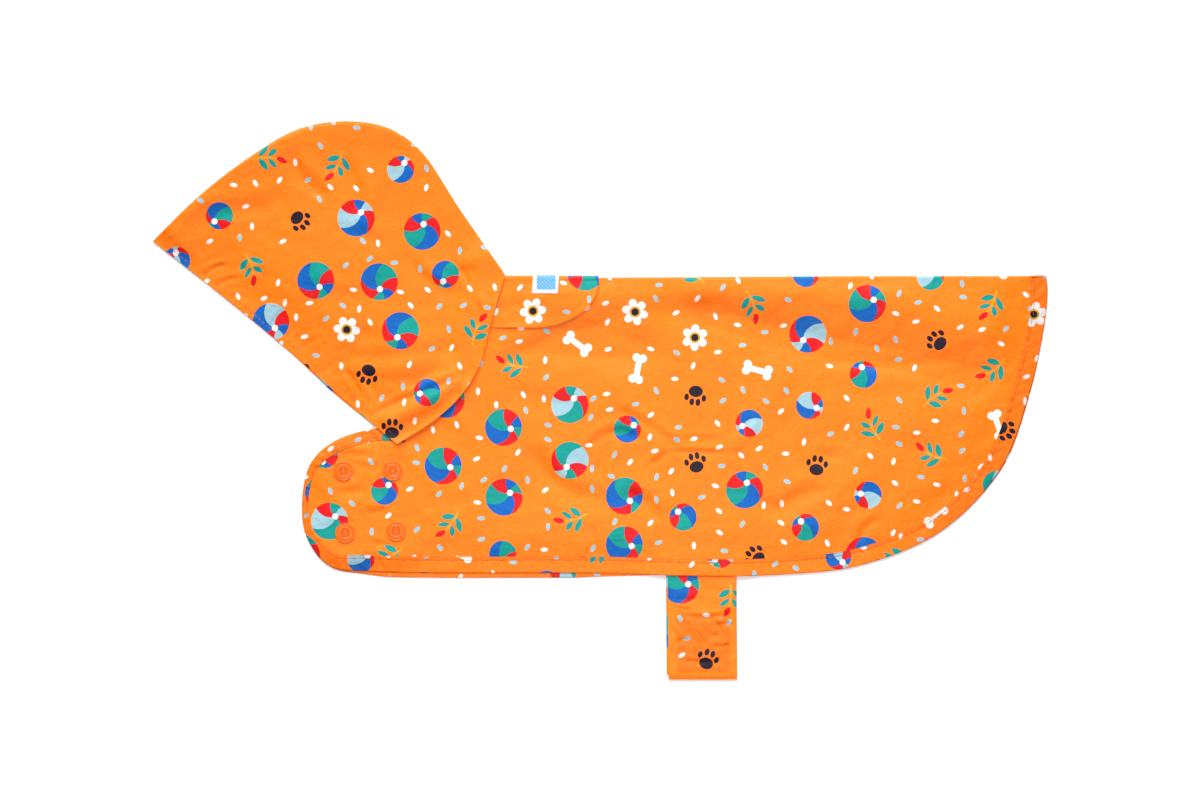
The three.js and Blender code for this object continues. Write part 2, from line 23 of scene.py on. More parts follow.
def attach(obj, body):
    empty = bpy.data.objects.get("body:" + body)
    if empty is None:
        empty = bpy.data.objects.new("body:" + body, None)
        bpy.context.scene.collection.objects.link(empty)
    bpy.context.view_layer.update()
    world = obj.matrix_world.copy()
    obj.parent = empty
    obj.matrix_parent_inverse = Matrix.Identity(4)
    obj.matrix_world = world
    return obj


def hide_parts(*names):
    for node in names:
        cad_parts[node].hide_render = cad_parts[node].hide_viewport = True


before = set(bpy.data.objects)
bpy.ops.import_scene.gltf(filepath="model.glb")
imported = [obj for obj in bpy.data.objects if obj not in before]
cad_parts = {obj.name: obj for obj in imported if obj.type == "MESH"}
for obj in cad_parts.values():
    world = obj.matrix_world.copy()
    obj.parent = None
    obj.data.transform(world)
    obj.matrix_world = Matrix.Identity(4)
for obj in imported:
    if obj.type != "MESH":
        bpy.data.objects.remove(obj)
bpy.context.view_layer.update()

MM = 0.001

# %% [markdown]
# ## Camera, floor and light
#
# The coat was photographed from straight above with a long lens, so the camera looks down and
# the perspective is weak. A sheet shows its folds only where light comes at it from one side.
# So one wide lamp stands low behind the coat's back, and a slope that faces it is brighter than
# one that faces away. A small faint lamp overhead brightens the middle of the coat, and an even
# white sky keeps the shadows pale. Together they light the floor above white, as in the
# photograph, so every colour below is divided by that brightness.

# %% Camera
VIEW_WIDTH = 780  # millimetres of floor that the picture shows from side to side
LENS = 100
SENSOR = 36
view_height = VIEW_WIDTH * LENS / SENSOR


def new_object(name, data):
    obj = bpy.data.objects.new(name, data)
    bpy.context.scene.collection.objects.link(obj)
    return obj


camera_data = bpy.data.cameras.new("camera")
camera_data.lens = LENS
camera_data.sensor_width = SENSOR
camera = new_object("camera", camera_data)
camera.location = Vector((0, 0, view_height)) * MM
bpy.context.scene.camera = camera
bpy.context.scene.view_settings.view_transform = "Standard"
print("camera height:", round(camera.location.z, 3), "m")


# %% Floor and lights
def add_lamp(name, place, size, power):
    lamp = bpy.data.lights.new(name, "AREA")
    lamp.shape = "SQUARE"
    lamp.size = size
    lamp.energy = power
    obj = new_object(name, lamp)
    obj.location = place
    obj.rotation_euler = (-Vector(place)).to_track_quat("-Z", "Y").to_euler()


def new_material(name):
    material = bpy.data.materials.new(name)
    material.use_nodes = True
    tree = material.node_tree
    return material, tree, tree.nodes["Principled BSDF"]


def new_piece(name, bm, material):
    """Turns a bmesh into an object with smooth faces and one material."""
    for face in bm.faces:
        face.smooth = True
    mesh = bpy.data.meshes.new(name)
    bm.to_mesh(mesh)
    bm.free()
    mesh.materials.append(material)
    return new_object(name, mesh)


SKY_STRENGTH = 0.13
FLOOR_HALF_WIDTH = 3  # metres
add_lamp("key", (-1.6, 9.8, 6.6), size=10.0, power=2800)
add_lamp("overhead", (0.04, -0.15, 0.62), size=0.4, power=2.75)

world = bpy.data.worlds.new("sky")
world.use_nodes = True
sky = world.node_tree.nodes["Background"]
sky.inputs["Color"].default_value = (1, 1, 1, 1)
sky.inputs["Strength"].default_value = SKY_STRENGTH
bpy.context.scene.world = world

floor_material, _, floor_shader = new_material("floor")
floor_shader.inputs["Base Color"].default_value = (0.94, 0.94, 0.94, 1)
floor_shader.inputs["Roughness"].default_value = 0.9
bm = bmesh.new()
bmesh.ops.create_grid(bm, x_segments=1, y_segments=1, size=FLOOR_HALF_WIDTH)
floor = new_piece("floor", bm, floor_material)

# %% [markdown]
# ## The cut: outlines and layers
#
# A maker starts from a paper pattern. Here the pattern is a few short tables of points, in
# millimetres, and a smooth line goes through each. The frame's middle is the middle of the
# picture, x points to the tail and y to the fold along the back.
#
# The layers lie on each other with a small gap, as in the solid model: STEP is the distance from
# one layer to the next.

# %% Tables of the cut
WALL = 0.32  # of one layer of cloth
STEP = 1.1
FAR_MID = 0.25  # middle of the far half, which lies on the floor
NEAR_MID = FAR_MID + STEP
HALF_FOLD = 0.5  # from the fold's outer line to the middle of its wall
# Fullness is how far the air lifts the cloth, and ease is how far in from the edge that takes.
BODY_FULLNESS = 2.8
HOOD_FULLNESS = 4.2
HEM_EASE = 34
HOOD_EASE = 46
CROWN_EASE = 90

HEM = [
    (-126, -19.8),
    (-146, -18.7),
    (-172.4, -26.8),
    (-187.7, -41.1),
    (-193.2, -65),
    (-190.3, -88.4),
    (-175.5, -107.1),
    (-149.5, -110.5),
    (0, -111.8),
    (65, -113.6),
    (117, -112.8),
    (169, -106.6),
    (221, -84.8),
    (259, -45.6),
    (279, 6.4),
    (289, 54),
    (290.3, 71),
    (289.5, 81.2),
]
SPINE = [(-66, 80.3), (0, 80.1), (170, 81.1), (291, 81.2)]
NECK = [
    (-131.6, -28.3),
    (-108.2, -13.3),
    (-91, 2.3),
    (-78, 23.1),
    (-71.2, 48.1),
    (-61.5, 81.4),
]
CROWN = [
    (-290.5, 103.5),
    (-260, 133),
    (-227.5, 158.1),
    (-195, 176.4),
    (-162.5, 181.2),
    (-136.5, 176.4),
    (-117, 162.5),
    (-91, 124),
    (-61.5, 81.4),
]
OPENING = [
    (-290.5, 103.5),
    (-241.3, 65),
    (-195, 26.3),
    (-162.2, -2.9),
    (-131.6, -28.3),
]
# Millimetres along the hem, from the neck to the chest's two corners and from the tail's lower
# corner to its end.
CHEST_TOP = 62
CHEST_LOW = 133
TAIL_LENGTH = 190
# The strip's width and how far the far half shows, by the distance along the hem.
STRIP_WIDTH = [
    (0, 7.5),
    (48, 7.5),
    (72, 5),
    (92, 3.6),
    (112, 3.6),
    (132, 8),
    (160, 10),
    (560, 11),
    (760, 10),
]
FAR_SHOWS = [
    (0, -1),
    (140, 0),
    (178, 3.2),
    (300, 3.2),
    (370, -0.6),
    (545, -0.6),
    (610, 1.0),
    (670, 0.4),
    (710, -0.6),
    (745, -0.6),
    (762, 0),
]


# %% Lines through the points
SPAN_STEPS = 24
COARSE = 3  # every third point of a line is enough to measure a distance from it


def line_through(rows):
    """A smooth line through the rows' points. A short span bends more than a long one."""
    points = [Vector(row) for row in rows]
    points = [2 * points[0] - points[1], *points, 2 * points[-1] - points[-2]]
    line = []
    for before, start, end, after in zip(points, points[1:], points[2:], points[3:]):
        ends = ((before, start), (start, end), (end, after))
        d0, d1, d2 = (math.sqrt((b - a).length) for a, b in ends)
        leave = (start - before) / d0 - (end - before) / (d0 + d1) + (end - start) / d1
        arrive = (end - start) / d1 - (after - start) / (d1 + d2) + (after - end) / d2
        handles = (start + leave * d1 / 3, end - arrive * d1 / 3)
        line += interpolate_bezier(start, *handles, end, SPAN_STEPS)[:-1]
    return np.array([*line, points[-2]])


def travelled(line):
    steps = np.linalg.norm(np.diff(line, axis=0), axis=1)
    return np.concatenate([[0], np.cumsum(steps)])


def walk(line, along):
    """The points that lie `along` millimetres from the line's start."""
    reach = travelled(line)
    return np.column_stack([np.interp(along, reach, line[:, k]) for k in range(line.shape[1])])


def rights(line, along):
    """Unit vectors to the right of the way along the line."""
    way = walk(line, along + 0.5) - walk(line, along - 0.5)
    way /= np.linalg.norm(way, axis=1)[:, None]
    return np.column_stack([way[:, 1], -way[:, 0]])


def beside(line, along, shift):
    return walk(line, along) + rights(line, along) * np.reshape(shift, (-1, 1))


def look_up(table, at):
    keys, values = zip(*table)
    return np.interp(at, keys, values)


hem = line_through(HEM)
neck = line_through(NECK)
crown = line_through(CROWN)
opening = line_through(OPENING)
coarse_hem, coarse_neck = hem[::COARSE], neck[::COARSE]
coarse_crown, coarse_opening = crown[::COARSE], opening[::COARSE]
hem_length = travelled(hem)[-1]
tail_corner = hem_length - TAIL_LENGTH
print("hem", round(hem_length), "mm, neck", round(travelled(neck)[-1]), "mm")

# %% [markdown]
# ## Heights: how the cloth lies
#
# Every sheet is a map from its flat outline to a height. The height starts at the hem, where
# the layers touch, and rises to the fullness that the air under the cloth gives it. Straps,
# snaps and the hood lift what lies on them. Then come the creases.
#
# A crease in thin coated cloth isn't a plain groove. One side stands up beside it, because the
# cloth that is pushed out of the groove has to go somewhere. So each row of the crease table
# makes a trough and a lower ridge beside it, both fading out at the ends.


# %% Distances
def smooth(t):
    t = np.clip(t, 0, 1)
    return t * t * (3 - 2 * t)


def bell(t):
    """1 at 0, and almost nothing from 2 on, to both sides."""
    return np.exp(-(t**2))


def mix(a, b, share):
    return a + (b - a) * share


def from_line(points, line):
    """Each point's distance from the line, how far along the line the nearest place is, and
    the side: 1 to the left of the line's way and -1 to its right."""
    least = np.full(len(points), np.inf)
    along = np.zeros(len(points))
    side = np.ones(len(points))
    reach = travelled(line)
    for a, b, start in zip(line, line[1:], reach):
        way = b - a
        length = np.linalg.norm(way)
        from_a = points - a
        share = np.clip(from_a @ way / length**2, 0, 1)
        distance = np.linalg.norm(from_a - share[:, None] * way, axis=1)
        nearer = distance < least
        along[nearer] = start + share[nearer] * length
        side[nearer] = np.sign(way[0] * from_a[nearer, 1] - way[1] * from_a[nearer, 0])
        least[nearer] = distance[nearer]
    return least, along, side


def above(height, floor, ease=0.3):
    """The height, bent so that it stays above the floor."""
    return (height + floor + np.hypot(height - floor, ease)) / 2


def outside(points, low, high):
    """Distance outside a rectangle, 0 inside it."""
    over = np.maximum(np.maximum(low - points, points - high), 0)
    return np.linalg.norm(over, axis=1)


# %% Folds and creases
LINE_STEPS = 6  # points of a fold's line in each of its spans


def fold_line(points):
    return line_through(points)[:: SPAN_STEPS // LINE_STEPS]


def folds(points, table):
    """Broad soft folds. Columns: height, width and the points of its line."""
    height = np.zeros(len(points))
    for depth, width, *line in table:
        height += depth * bell(from_line(points, fold_line(line))[0] / width)
    return height


RIDGE_SHARE = 0.6  # the ridge's height, as a share of the trough's depth
RIDGE_PLACE = 1.7  # from the trough to the ridge, in crease widths
CREASE_FADE = 0.3  # share of its length in which a crease fades out, at each end
CREASE_STRENGTH = 1.4


def creases(points, table):
    """Sharp creases. Columns: depth, width and the points of its line. The ridge is to the left
    of the line's way, or to its right where the width is below 0."""
    height = np.zeros(len(points))
    for depth, width, *line in table:
        line = fold_line(line)
        distance, along, side = from_line(points, line)
        share = along / travelled(line)[-1]
        fade = smooth(np.minimum(share, 1 - share) / CREASE_FADE)
        across = side * distance / width
        ridge = RIDGE_SHARE * bell(across - RIDGE_PLACE)
        height += depth * fade * (ridge - bell(across))
    return CREASE_STRENGTH * height


def ripples(points, size, height, turn=0.0):
    """Gentle unevenness without a direction: two families of waves that bend each other."""
    x, y = points[:, 0] / size, points[:, 1] / size
    x, y = x * math.cos(turn) - y * math.sin(turn), x * math.sin(turn) + y * math.cos(turn)
    first = np.sin(x + 1.4 * np.sin(0.7 * y + 0.6))
    second = np.sin(1.3 * y + 1.2 * np.sin(0.8 * x + 2.1))
    return height * (first * second + 0.4 * np.sin(2.3 * x - 1.7 * y))


def unevenness(points, table):
    """Ripples of several sizes together. Columns: size, height and turn."""
    return sum(ripples(points, *row) for row in table)


# %% Heights of the body's two halves
BODY_FOLDS = [
    (1.7, 10, (-34, 66), (30, 68), (66, 70)),
    (2.8, 13, (66, 73), (120, 70), (182, 64), (252, 46)),
    (-3.6, 12, (-26, 38), (-2, 36), (28, 31)),
    (-3.7, 12, (50, 60), (78, 54), (104, 45), (124, 40), (156, 32), (200, 25), (254, 12)),
    (1.1, 10, (42, -26), (8, 14)),
    (0.8, 10, (92, -26), (118, 10)),
    (-1.2, 14, (-60, -60), (20, -38)),
    (1.2, 16, (150, -60), (215, -10)),
    (0.9, 15, (-62, -96), (28, -98)),
]
BODY_CREASES = [
    # Under the flap and along the back.
    (0.9, 6, (-66, 18), (-52, 31), (-25, 36)),
    (0.5, 3.5, (-22, 30), (-4, 32), (16, 30)),
    (0.8, 7, (-22, 40), (-6, 44), (8, 56), (12, 70)),
    (0.7, 7, (-67, 9), (-45, 0), (-14, -2)),
    (0.5, 4, (150, 29), (178, 24), (238, 25)),
    (0.4, 6, (120, 30), (160, 8), (236, 6)),
    # The star round the strap's sewn end.
    (0.9, 1.5, (42, -33), (65, -33.4), (88, -33)),
    (0.35, 2, (44, -25.5), (66, -25), (86, -25.5)),
    (0.8, 3, (4, -2), (18, -9), (32, -17), (47, -27), (60, -36)),
    (0.8, 2, (32, -43), (38, -38), (46, -33)),
    (0.5, 2.2, (86.5, -2), (86, -14), (86, -28)),
    (0.55, 2.2, (101, -8), (94, -17), (87, -27)),
    (0.8, -1.9, (86, -32), (91, -37), (97, -46)),
    # Between the belly and the chest.
    (0.8, 3.2, (-8, -42), (-4, -28), (4, -22), (14, -21), (24, -24), (34, -29)),
    (-0.7, 3, (8, -56), (6.5, -43), (9, -34), (17, -29)),
    (1.2, 6.2, (-56, -24), (-43, -37), (-33, -50), (-19, -60), (0, -65), (16, -73)),
    (1.2, 5.5, (10, -56), (26, -65), (43, -82)),
    (0.5, -2.6, (38, -74), (41, -88), (41, -106)),
    (0.4, -4, (-8, -78), (-5, -92), (-3, -106)),
    (0.5, 8, (-120, 4), (-96, -22), (-70, -40)),
    (0.4, 5, (-110, -62), (-96, -66), (-76, -64)),
    # Towards the tail.
    (0.9, 5.4, (92, -66), (118, -69), (130, -62), (156, -56)),
    (0.5, 4, (138, -37), (150, -36), (164, -41)),
    (0.6, 3.2, (169, -96), (171, -84), (186, -74)),
    (0.45, 8, (150, -18), (190, -30), (236, -24)),
    (0.4, 6, (190, -58), (214, -66), (236, -52)),
    (0.5, 5, (238, 10), (254, -6), (262, -24)),
    # The chest flap between the snaps.
    (0.35, 2.4, (-163, -43.5), (-152, -43), (-142, -44)),
    (0.8, 4, (-174, -58), (-162, -60), (-148, -57)),
    (0.6, 3, (-152, -75), (-144, -72.5), (-136, -73)),
    (0.4, 2.4, (-168, -33), (-158, -35), (-146, -35)),
    (0.5, 2.4, (-150, -95), (-141, -93), (-128, -97)),
    (0.5, 4, (-118, -52), (-112, -62), (-112, -76)),
]
BODY_RIPPLES = [(17, 0.3, 0), (6.5, 0.1, 0.7)]
BODY_CRUMPLE = [(2.6, 0.03, 2)]
CREASES_START = 12  # millimetres in from the hem
CRUMPLE_START = 8
SEAM_PUCKER = 0.12  # of the body along the strip's inner edge
SEAM_PUCKER_WIDTH = 5
LEAST_GAP = 0.5  # between the middles of two layers
# The strip under the far hem lifts the far half in a band along it.
HEM_BAND = 12
HEM_BAND_LIFT = 0.35
HEM_BAND_SLOPE = 4
STRAP_X = 66.2
STRAP_WIDTH = 44.6
STRAP_TOP = -30
STRAP_END = -181.2
# Room is how far round a thing it holds up the cloth that lies over it, and slope the distance
# beyond that over which the cloth comes down.
STRAP_ROOM = 2
STRAP_SLOPE = 16
STRAP_LIFT = 0.1  # of the far strap's middle over the far half's
STRAP_STEP = 0.85  # from one strap to the next
STRAP_OFF = 6  # how far beside the straps the body may lie lower than on them
OVER_STRAPS = NEAR_MID + 2 * STRAP_STEP
# The least height of the body over the straps.
STRAP_TOP_Z = FAR_MID + STRAP_LIFT + 2 * STRAP_STEP + LEAST_GAP
SNAPS = [(-166.6, -46), (-134.6, -45.8), (-165.4, -86.1), (-132.4, -85)]
SNAP_RADIUS = 6.5
SNAP_HOLD = 6  # how far outside its rim a snap keeps the cloth from creasing
# The ring that a snap presses into the cloth round it.
DENT_DEPTH = 0.35
DENT_RADIUS = 8.5
DENT_WIDTH = 2.6
CHEST_MID = NEAR_MID + 2.0
SPINE_DROP = 1.1  # the cloth is lower where it bends round the fold
SPINE_EASE = 9
STUD_ROOM = 14
STUD_SLOPE = 13
FLAP_DEPTH = 31.5
FLAP_END = -1
FLAP_LOW = np.array((NECK[0][0], SPINE[0][1] - FLAP_DEPTH))
FLAP_HIGH = np.array((FLAP_END, SPINE[0][1]))
FLAP_ROOM = 15
FLAP_SLOPE = 16
strap_low = np.array((STRAP_X - STRAP_WIDTH / 2, STRAP_END))
strap_high = np.array((STRAP_X + STRAP_WIDTH / 2, STRAP_TOP))


def seam_pucker(along):
    """The small waves that a row of stitches draws into the cloth beside it."""
    return np.sin(1.15 * along + 1.4 * np.sin(0.23 * along)) * (0.7 + 0.3 * np.sin(0.11 * along))


def far_z(points):
    over = outside(points, FLAP_LOW, FLAP_HIGH) - FLAP_ROOM
    z = mix(FAR_MID + STEP, FAR_MID, smooth(over / FLAP_SLOPE))
    distance = from_line(points, coarse_hem)[0]
    return z + HEM_BAND_LIFT * (1 - smooth((distance - HEM_BAND) / HEM_BAND_SLOPE))


def near_z(points):
    distance, along, _ = from_line(points, coarse_hem)
    inward = smooth(distance / HEM_EASE)
    z = NEAR_MID + inward * (BODY_FULLNESS + folds(points, BODY_FOLDS))
    to_strap = outside(points, strap_low, strap_high)
    over_strap = mix(OVER_STRAPS, NEAR_MID, smooth((to_strap - STRAP_ROOM) / STRAP_SLOPE))
    z = np.maximum(z, over_strap)
    to_spine = look_up(SPINE, points[:, 0]) - points[:, 1]
    z -= SPINE_DROP * inward * bell(to_spine / SPINE_EASE)
    loose = np.ones(len(points))  # 0 where a snap holds the cloth flat
    for snap in SNAPS:
        reach = np.linalg.norm(points - snap, axis=1)
        z = mix(CHEST_MID, z, smooth((reach - STUD_ROOM) / STUD_SLOPE))
        z -= DENT_DEPTH * bell((reach - DENT_RADIUS) / DENT_WIDTH)
        loose *= smooth((reach - SNAP_RADIUS) / SNAP_HOLD)
    z += loose * smooth(distance / CREASES_START) * creases(points, BODY_CREASES)
    z += loose * inward * unevenness(points, BODY_RIPPLES)
    z += loose * smooth(distance / CRUMPLE_START) * unevenness(points, BODY_CRUMPLE)
    strip_edge = distance - look_up(STRIP_WIDTH, along)
    z += SEAM_PUCKER * seam_pucker(along) * bell(strip_edge / SEAM_PUCKER_WIDTH)
    least_over_strap = mix(STRAP_TOP_Z, 0, smooth(to_strap / STRAP_OFF))
    return above(z, np.maximum(far_z(points) + LEAST_GAP, least_over_strap))


# %% The fold along the back
FOLD_PASSES = 4  # the radius and the height beside it depend on each other


def back_fold(x):
    """Centre and radius of the half circle that joins the two halves, at each x."""
    top = look_up(SPINE, x)
    radius = np.full(len(x), STEP)
    low = far_z(np.column_stack([x, top]))
    for _ in range(FOLD_PASSES):
        y = top - HALF_FOLD - radius
        radius = (near_z(np.column_stack([x, y])) - low) / 2
    return top - HALF_FOLD - radius, low + radius, radius


def on_fold(x, angle, out):
    """Points on the fold, `out` millimetres outside the body's wall; angle 90 degrees is up."""
    y, z, radius = back_fold(x)
    reach = radius + out
    return np.column_stack([x, y + reach * np.cos(angle), z + reach * np.sin(angle)])


# %% [markdown]
# ## Sheets from grids
#
# `bmesh.ops.create_grid` makes a square grid. Each vertex then moves from its place in the
# square to its place in the cloth. Four border lines span the sheet between them, which is
# called a Coons patch. The cloth's flat coordinates go into a UV map named Cloth, because the
# print and the weave follow the cloth over a fold.


# %% Grid helpers
def patch(bottom, top, left, right, u, v):
    """Points of a sheet between four borders that share their corners."""
    i = np.rint(u * (len(bottom) - 1)).astype(int)
    j = np.rint(v * (len(left) - 1)).astype(int)
    u, v = u[:, None], v[:, None]
    corners = (bottom[0] * (1 - u) + bottom[-1] * u) * (1 - v)
    corners += (top[0] * (1 - u) + top[-1] * u) * v
    return bottom[i] * (1 - v) + top[i] * v + left[j] * (1 - u) + right[j] * u - corners


def add_grid(bm, columns, rows, place, seam=None):
    """Adds a grid whose vertices go where place(u, v) says: points, and flat coordinates.
    seam(u, v) says how much painted shade the cloth gets: 1 on a line where stitches draw it in."""
    flat_layer = bm.verts.layers.float_vector["flat"]
    seam_layer = bm.verts.layers.float["seam"]
    verts = bmesh.ops.create_grid(bm, x_segments=columns, y_segments=rows, size=1)["verts"]
    u = np.array([vert.co.x for vert in verts]) / 2 + 0.5
    v = np.array([vert.co.y for vert in verts]) / 2 + 0.5
    points, flat = place(u, v)
    dark = seam(u, v) if seam else 0 * v
    for vert, point, cloth, shade in zip(verts, points, flat, dark):
        vert.co = Vector(point) * MM
        vert[flat_layer] = Vector((*cloth, 0)) * MM
        vert[seam_layer] = shade


def print_place(flat, turn=0, shift=(0, 0)):
    """Flat coordinates, turned and shifted as the cutter laid the pattern on the cloth."""
    turn = math.radians(turn)
    x, y = flat[:, 0], flat[:, 1]
    turned = (x * math.cos(turn) - y * math.sin(turn), x * math.sin(turn) + y * math.cos(turn))
    return np.column_stack(turned) + shift


WELD = 0.06  # vertices that lie closer than this are made one


def make_sheet(name, material, *grids, wall=WALL):
    """Makes a sheet from grids that it welds, and gives it its UV map and its wall. A grid is
    given as its columns, its rows, a function that places it and, if it has any, its painted
    shade."""
    bm = bmesh.new()
    bm.verts.layers.float_vector.new("flat")
    bm.verts.layers.float.new("seam")
    for grid in grids:
        add_grid(bm, *grid)
    bmesh.ops.remove_doubles(bm, verts=bm.verts, dist=WELD * MM)
    flat_layer = bm.verts.layers.float_vector["flat"]
    uv_layer = bm.loops.layers.uv.new("Cloth")
    for face in bm.faces:
        for loop in face.loops:
            loop[uv_layer].uv = loop.vert[flat_layer].xy
    for edge in bm.edges:
        edge.smooth = not edge.is_boundary
    piece = new_piece(name, bm, material)
    solidify = piece.modifiers.new("wall", "SOLIDIFY")
    solidify.thickness = wall * MM
    solidify.offset = 0
    print(name, len(piece.data.polygons), "faces before the wall")
    return piece


# %% [markdown]
# ## Materials
#
# The cloth is printed: small bright motifs all over an orange ground. The print is a node group
# that reads the flat coordinates. It divides the cloth into cells, gives each cell a random
# number, and draws one motif in it: a swirled ball, a leafy sprig, a flower, a paw or a bone.
# A finer set of cells scatters small ovals between them, except where a motif already is.
#
# Building nodes one by one is long, so a small helper adds a node, fills its inputs and returns
# its output. A sum of nodes then reads almost like a formula.


# %% Node helpers
BRIGHTNESS = 1.6  # of the light on flat ground


def colour(red, green, blue):
    """A screen colour from 0 to 255 as the linear colour that shows so in this light."""
    parts = (np.array((red, green, blue)) / 255 + 0.055) / 1.055
    return (*(np.maximum(parts, 0) ** 2.4 / BRIGHTNESS), 1)


def fill(tree, node, values):
    """Fills a node's inputs: a socket is linked, anything else is set."""
    for name, value in values.items():
        if isinstance(value, bpy.types.NodeSocket):
            tree.links.new(value, node.inputs[name])
        else:
            node.inputs[name].default_value = value


def add_node(tree, kind, values=None, output=0, **settings):
    """Adds a node, sets it, fills its inputs and returns one of its outputs."""
    node = tree.nodes.new(kind)
    for name, value in settings.items():
        setattr(node, name, value)
    fill(tree, node, values or {})
    return node.outputs[output]


def place_group(tree, group, **values):
    node = tree.nodes.new("ShaderNodeGroup")
    node.node_tree = group
    fill(tree, node, values)
    return node


def new_group(name, inputs, outputs):
    """A node group with named sockets, each given as (name, kind, value)."""
    tree = bpy.data.node_groups.new(name, "ShaderNodeTree")
    for label, kind, value in inputs:
        socket = tree.interface.new_socket(label, in_out="INPUT", socket_type=kind)
        if value is not None:
            socket.default_value = value
    for label, kind in outputs:
        tree.interface.new_socket(label, in_out="OUTPUT", socket_type=kind)
    return tree, tree.nodes.new("NodeGroupInput"), tree.nodes.new("NodeGroupOutput")


class Sums:
    """Short names for the nodes of one tree."""

    def __init__(self, tree):
        self.tree = tree

    def math(self, operation, *values):
        return add_node(self.tree, "ShaderNodeMath", dict(enumerate(values)), operation=operation)

    def vector(self, operation, *values, output=0, **named):
        values = {**dict(enumerate(values)), **named}
        return add_node(self.tree, "ShaderNodeVectorMath", values, output, operation=operation)

    def length(self, vector):
        return self.vector("LENGTH", vector, output="Value")

    def parts(self, vector):
        node = self.tree.nodes.new("ShaderNodeSeparateXYZ")
        self.tree.links.new(vector, node.inputs[0])
        return node.outputs[0], node.outputs[1]

    def point(self, x, y):
        return add_node(self.tree, "ShaderNodeCombineXYZ", {0: x, 1: y})

    def paint(self, mask, under, over):
        """The colour `over` where the mask is 1, and `under` elsewhere."""
        values = {0: mask, 6: under, 7: over}
        return add_node(self.tree, "ShaderNodeMix", values, 2, data_type="RGBA")

    def plus(self, a, b):
        return self.math("ADD", a, b)

    def minus(self, a, b):
        return self.math("SUBTRACT", a, b)

    def times(self, a, b):
        return self.math("MULTIPLY", a, b)

    def within(self, value, limit):
        return self.math("LESS_THAN", value, limit)

    def beyond(self, value, limit):
        return self.math("GREATER_THAN", value, limit)

    def both(self, a, b):
        return self.times(a, b)

    def either(self, a, b):
        return self.math("MAXIMUM", a, b)

    def oval(self, vector, centre, radii):
        """1 inside an oval."""
        moved = self.vector("SUBTRACT", vector, (*centre, 0))
        scaled = self.vector("DIVIDE", moved, (*radii, 1))
        return self.within(self.length(scaled), 1.0)


# %% The cells of the print
def build_cells():
    """Divides the cloth into cells with a jittered middle. Puts out the place from the cell's
    middle in millimetres, turned by chance, the same unturned, and two chances."""
    inputs = [
        ("Flat", "NodeSocketVector", None),
        ("Pitch", "NodeSocketFloat", 0.04),
        ("Jitter", "NodeSocketFloat", 0.1),
        ("Seed", "NodeSocketFloat", 0.0),
    ]
    outputs = [
        ("Turned", "NodeSocketVector"),
        ("Middle", "NodeSocketVector"),
        ("Kind", "NodeSocketFloat"),
        ("Shade", "NodeSocketFloat"),
    ]
    tree, given, result = new_group("print cells", inputs, outputs)
    s = Sums(tree)
    flat, pitch, jitter, seed = given.outputs[:4]
    scaled = s.vector("DIVIDE", flat, s.point(pitch, pitch))
    x, y = s.parts(scaled)
    column = s.math("FLOOR", x)
    y = s.plus(y, s.times(s.math("FLOORED_MODULO", column, 2.0), 0.5))
    row = s.math("FLOOR", y)
    place = add_node(tree, "ShaderNodeCombineXYZ", {0: column, 1: row, 2: seed})
    chance = add_node(tree, "ShaderNodeTexWhiteNoise", {"Vector": place}, "Color")
    kind = add_node(tree, "ShaderNodeTexWhiteNoise", {"Vector": place}, "Value")
    offset = s.vector("SCALE", s.vector("SUBTRACT", chance, (0.5, 0.5, 0.5)), Scale=jitter)
    offset_x, offset_y = s.parts(offset)
    from_x = s.minus(s.minus(s.math("FRACT", x), 0.5), offset_x)
    from_y = s.minus(s.minus(s.math("FRACT", y), 0.5), offset_y)
    metres = s.vector("SCALE", s.point(from_x, from_y), Scale=pitch)
    local = s.vector("SCALE", metres, Scale=1000.0)
    split = tree.nodes.new("ShaderNodeSeparateXYZ")
    tree.links.new(chance, split.inputs[0])
    turn = s.times(split.outputs[2], math.tau)
    values = {"Vector": local, "Angle": turn}
    turned = add_node(tree, "ShaderNodeVectorRotate", values, rotation_type="Z_AXIS")
    middle = s.vector("SUBTRACT", flat, metres)
    for socket, value in zip(result.inputs, (turned, middle, kind, split.outputs[0])):
        tree.links.new(value, socket)
    return tree


cells = build_cells()

# %% The motifs
GROUND = colour(308, 145, 22)  # so much red that it stays at 255 in the folds
RED = colour(254, 22, 30)
BLUE = colour(0, 110, 208)
TEAL = colour(0, 172, 161)
PALE_BLUE = colour(178, 222, 236)
WHITE = colour(272, 268, 264)
CHARCOAL = colour(40, 26, 44)
YELLOW = colour(255, 184, 46)

# Sizes are in millimetres.
BALL_RADIUS = 12.0
SMALL_BALL_BY = 3.2  # how much smaller a small ball's radius is
SMALL_BALLS = 0.45  # share of the balls that are small
BALL_CAP = (-3.6, 3.2, 0)
BALL_CAP_RADIUS = 2.0
SWIRL = 0.009  # turns of a panel's edge in each millimetre from the cap
STEM_BEND = 0.018  # how far the stem leans aside, for each square millimetre of height
STEM_HALF_WIDTH = 0.55


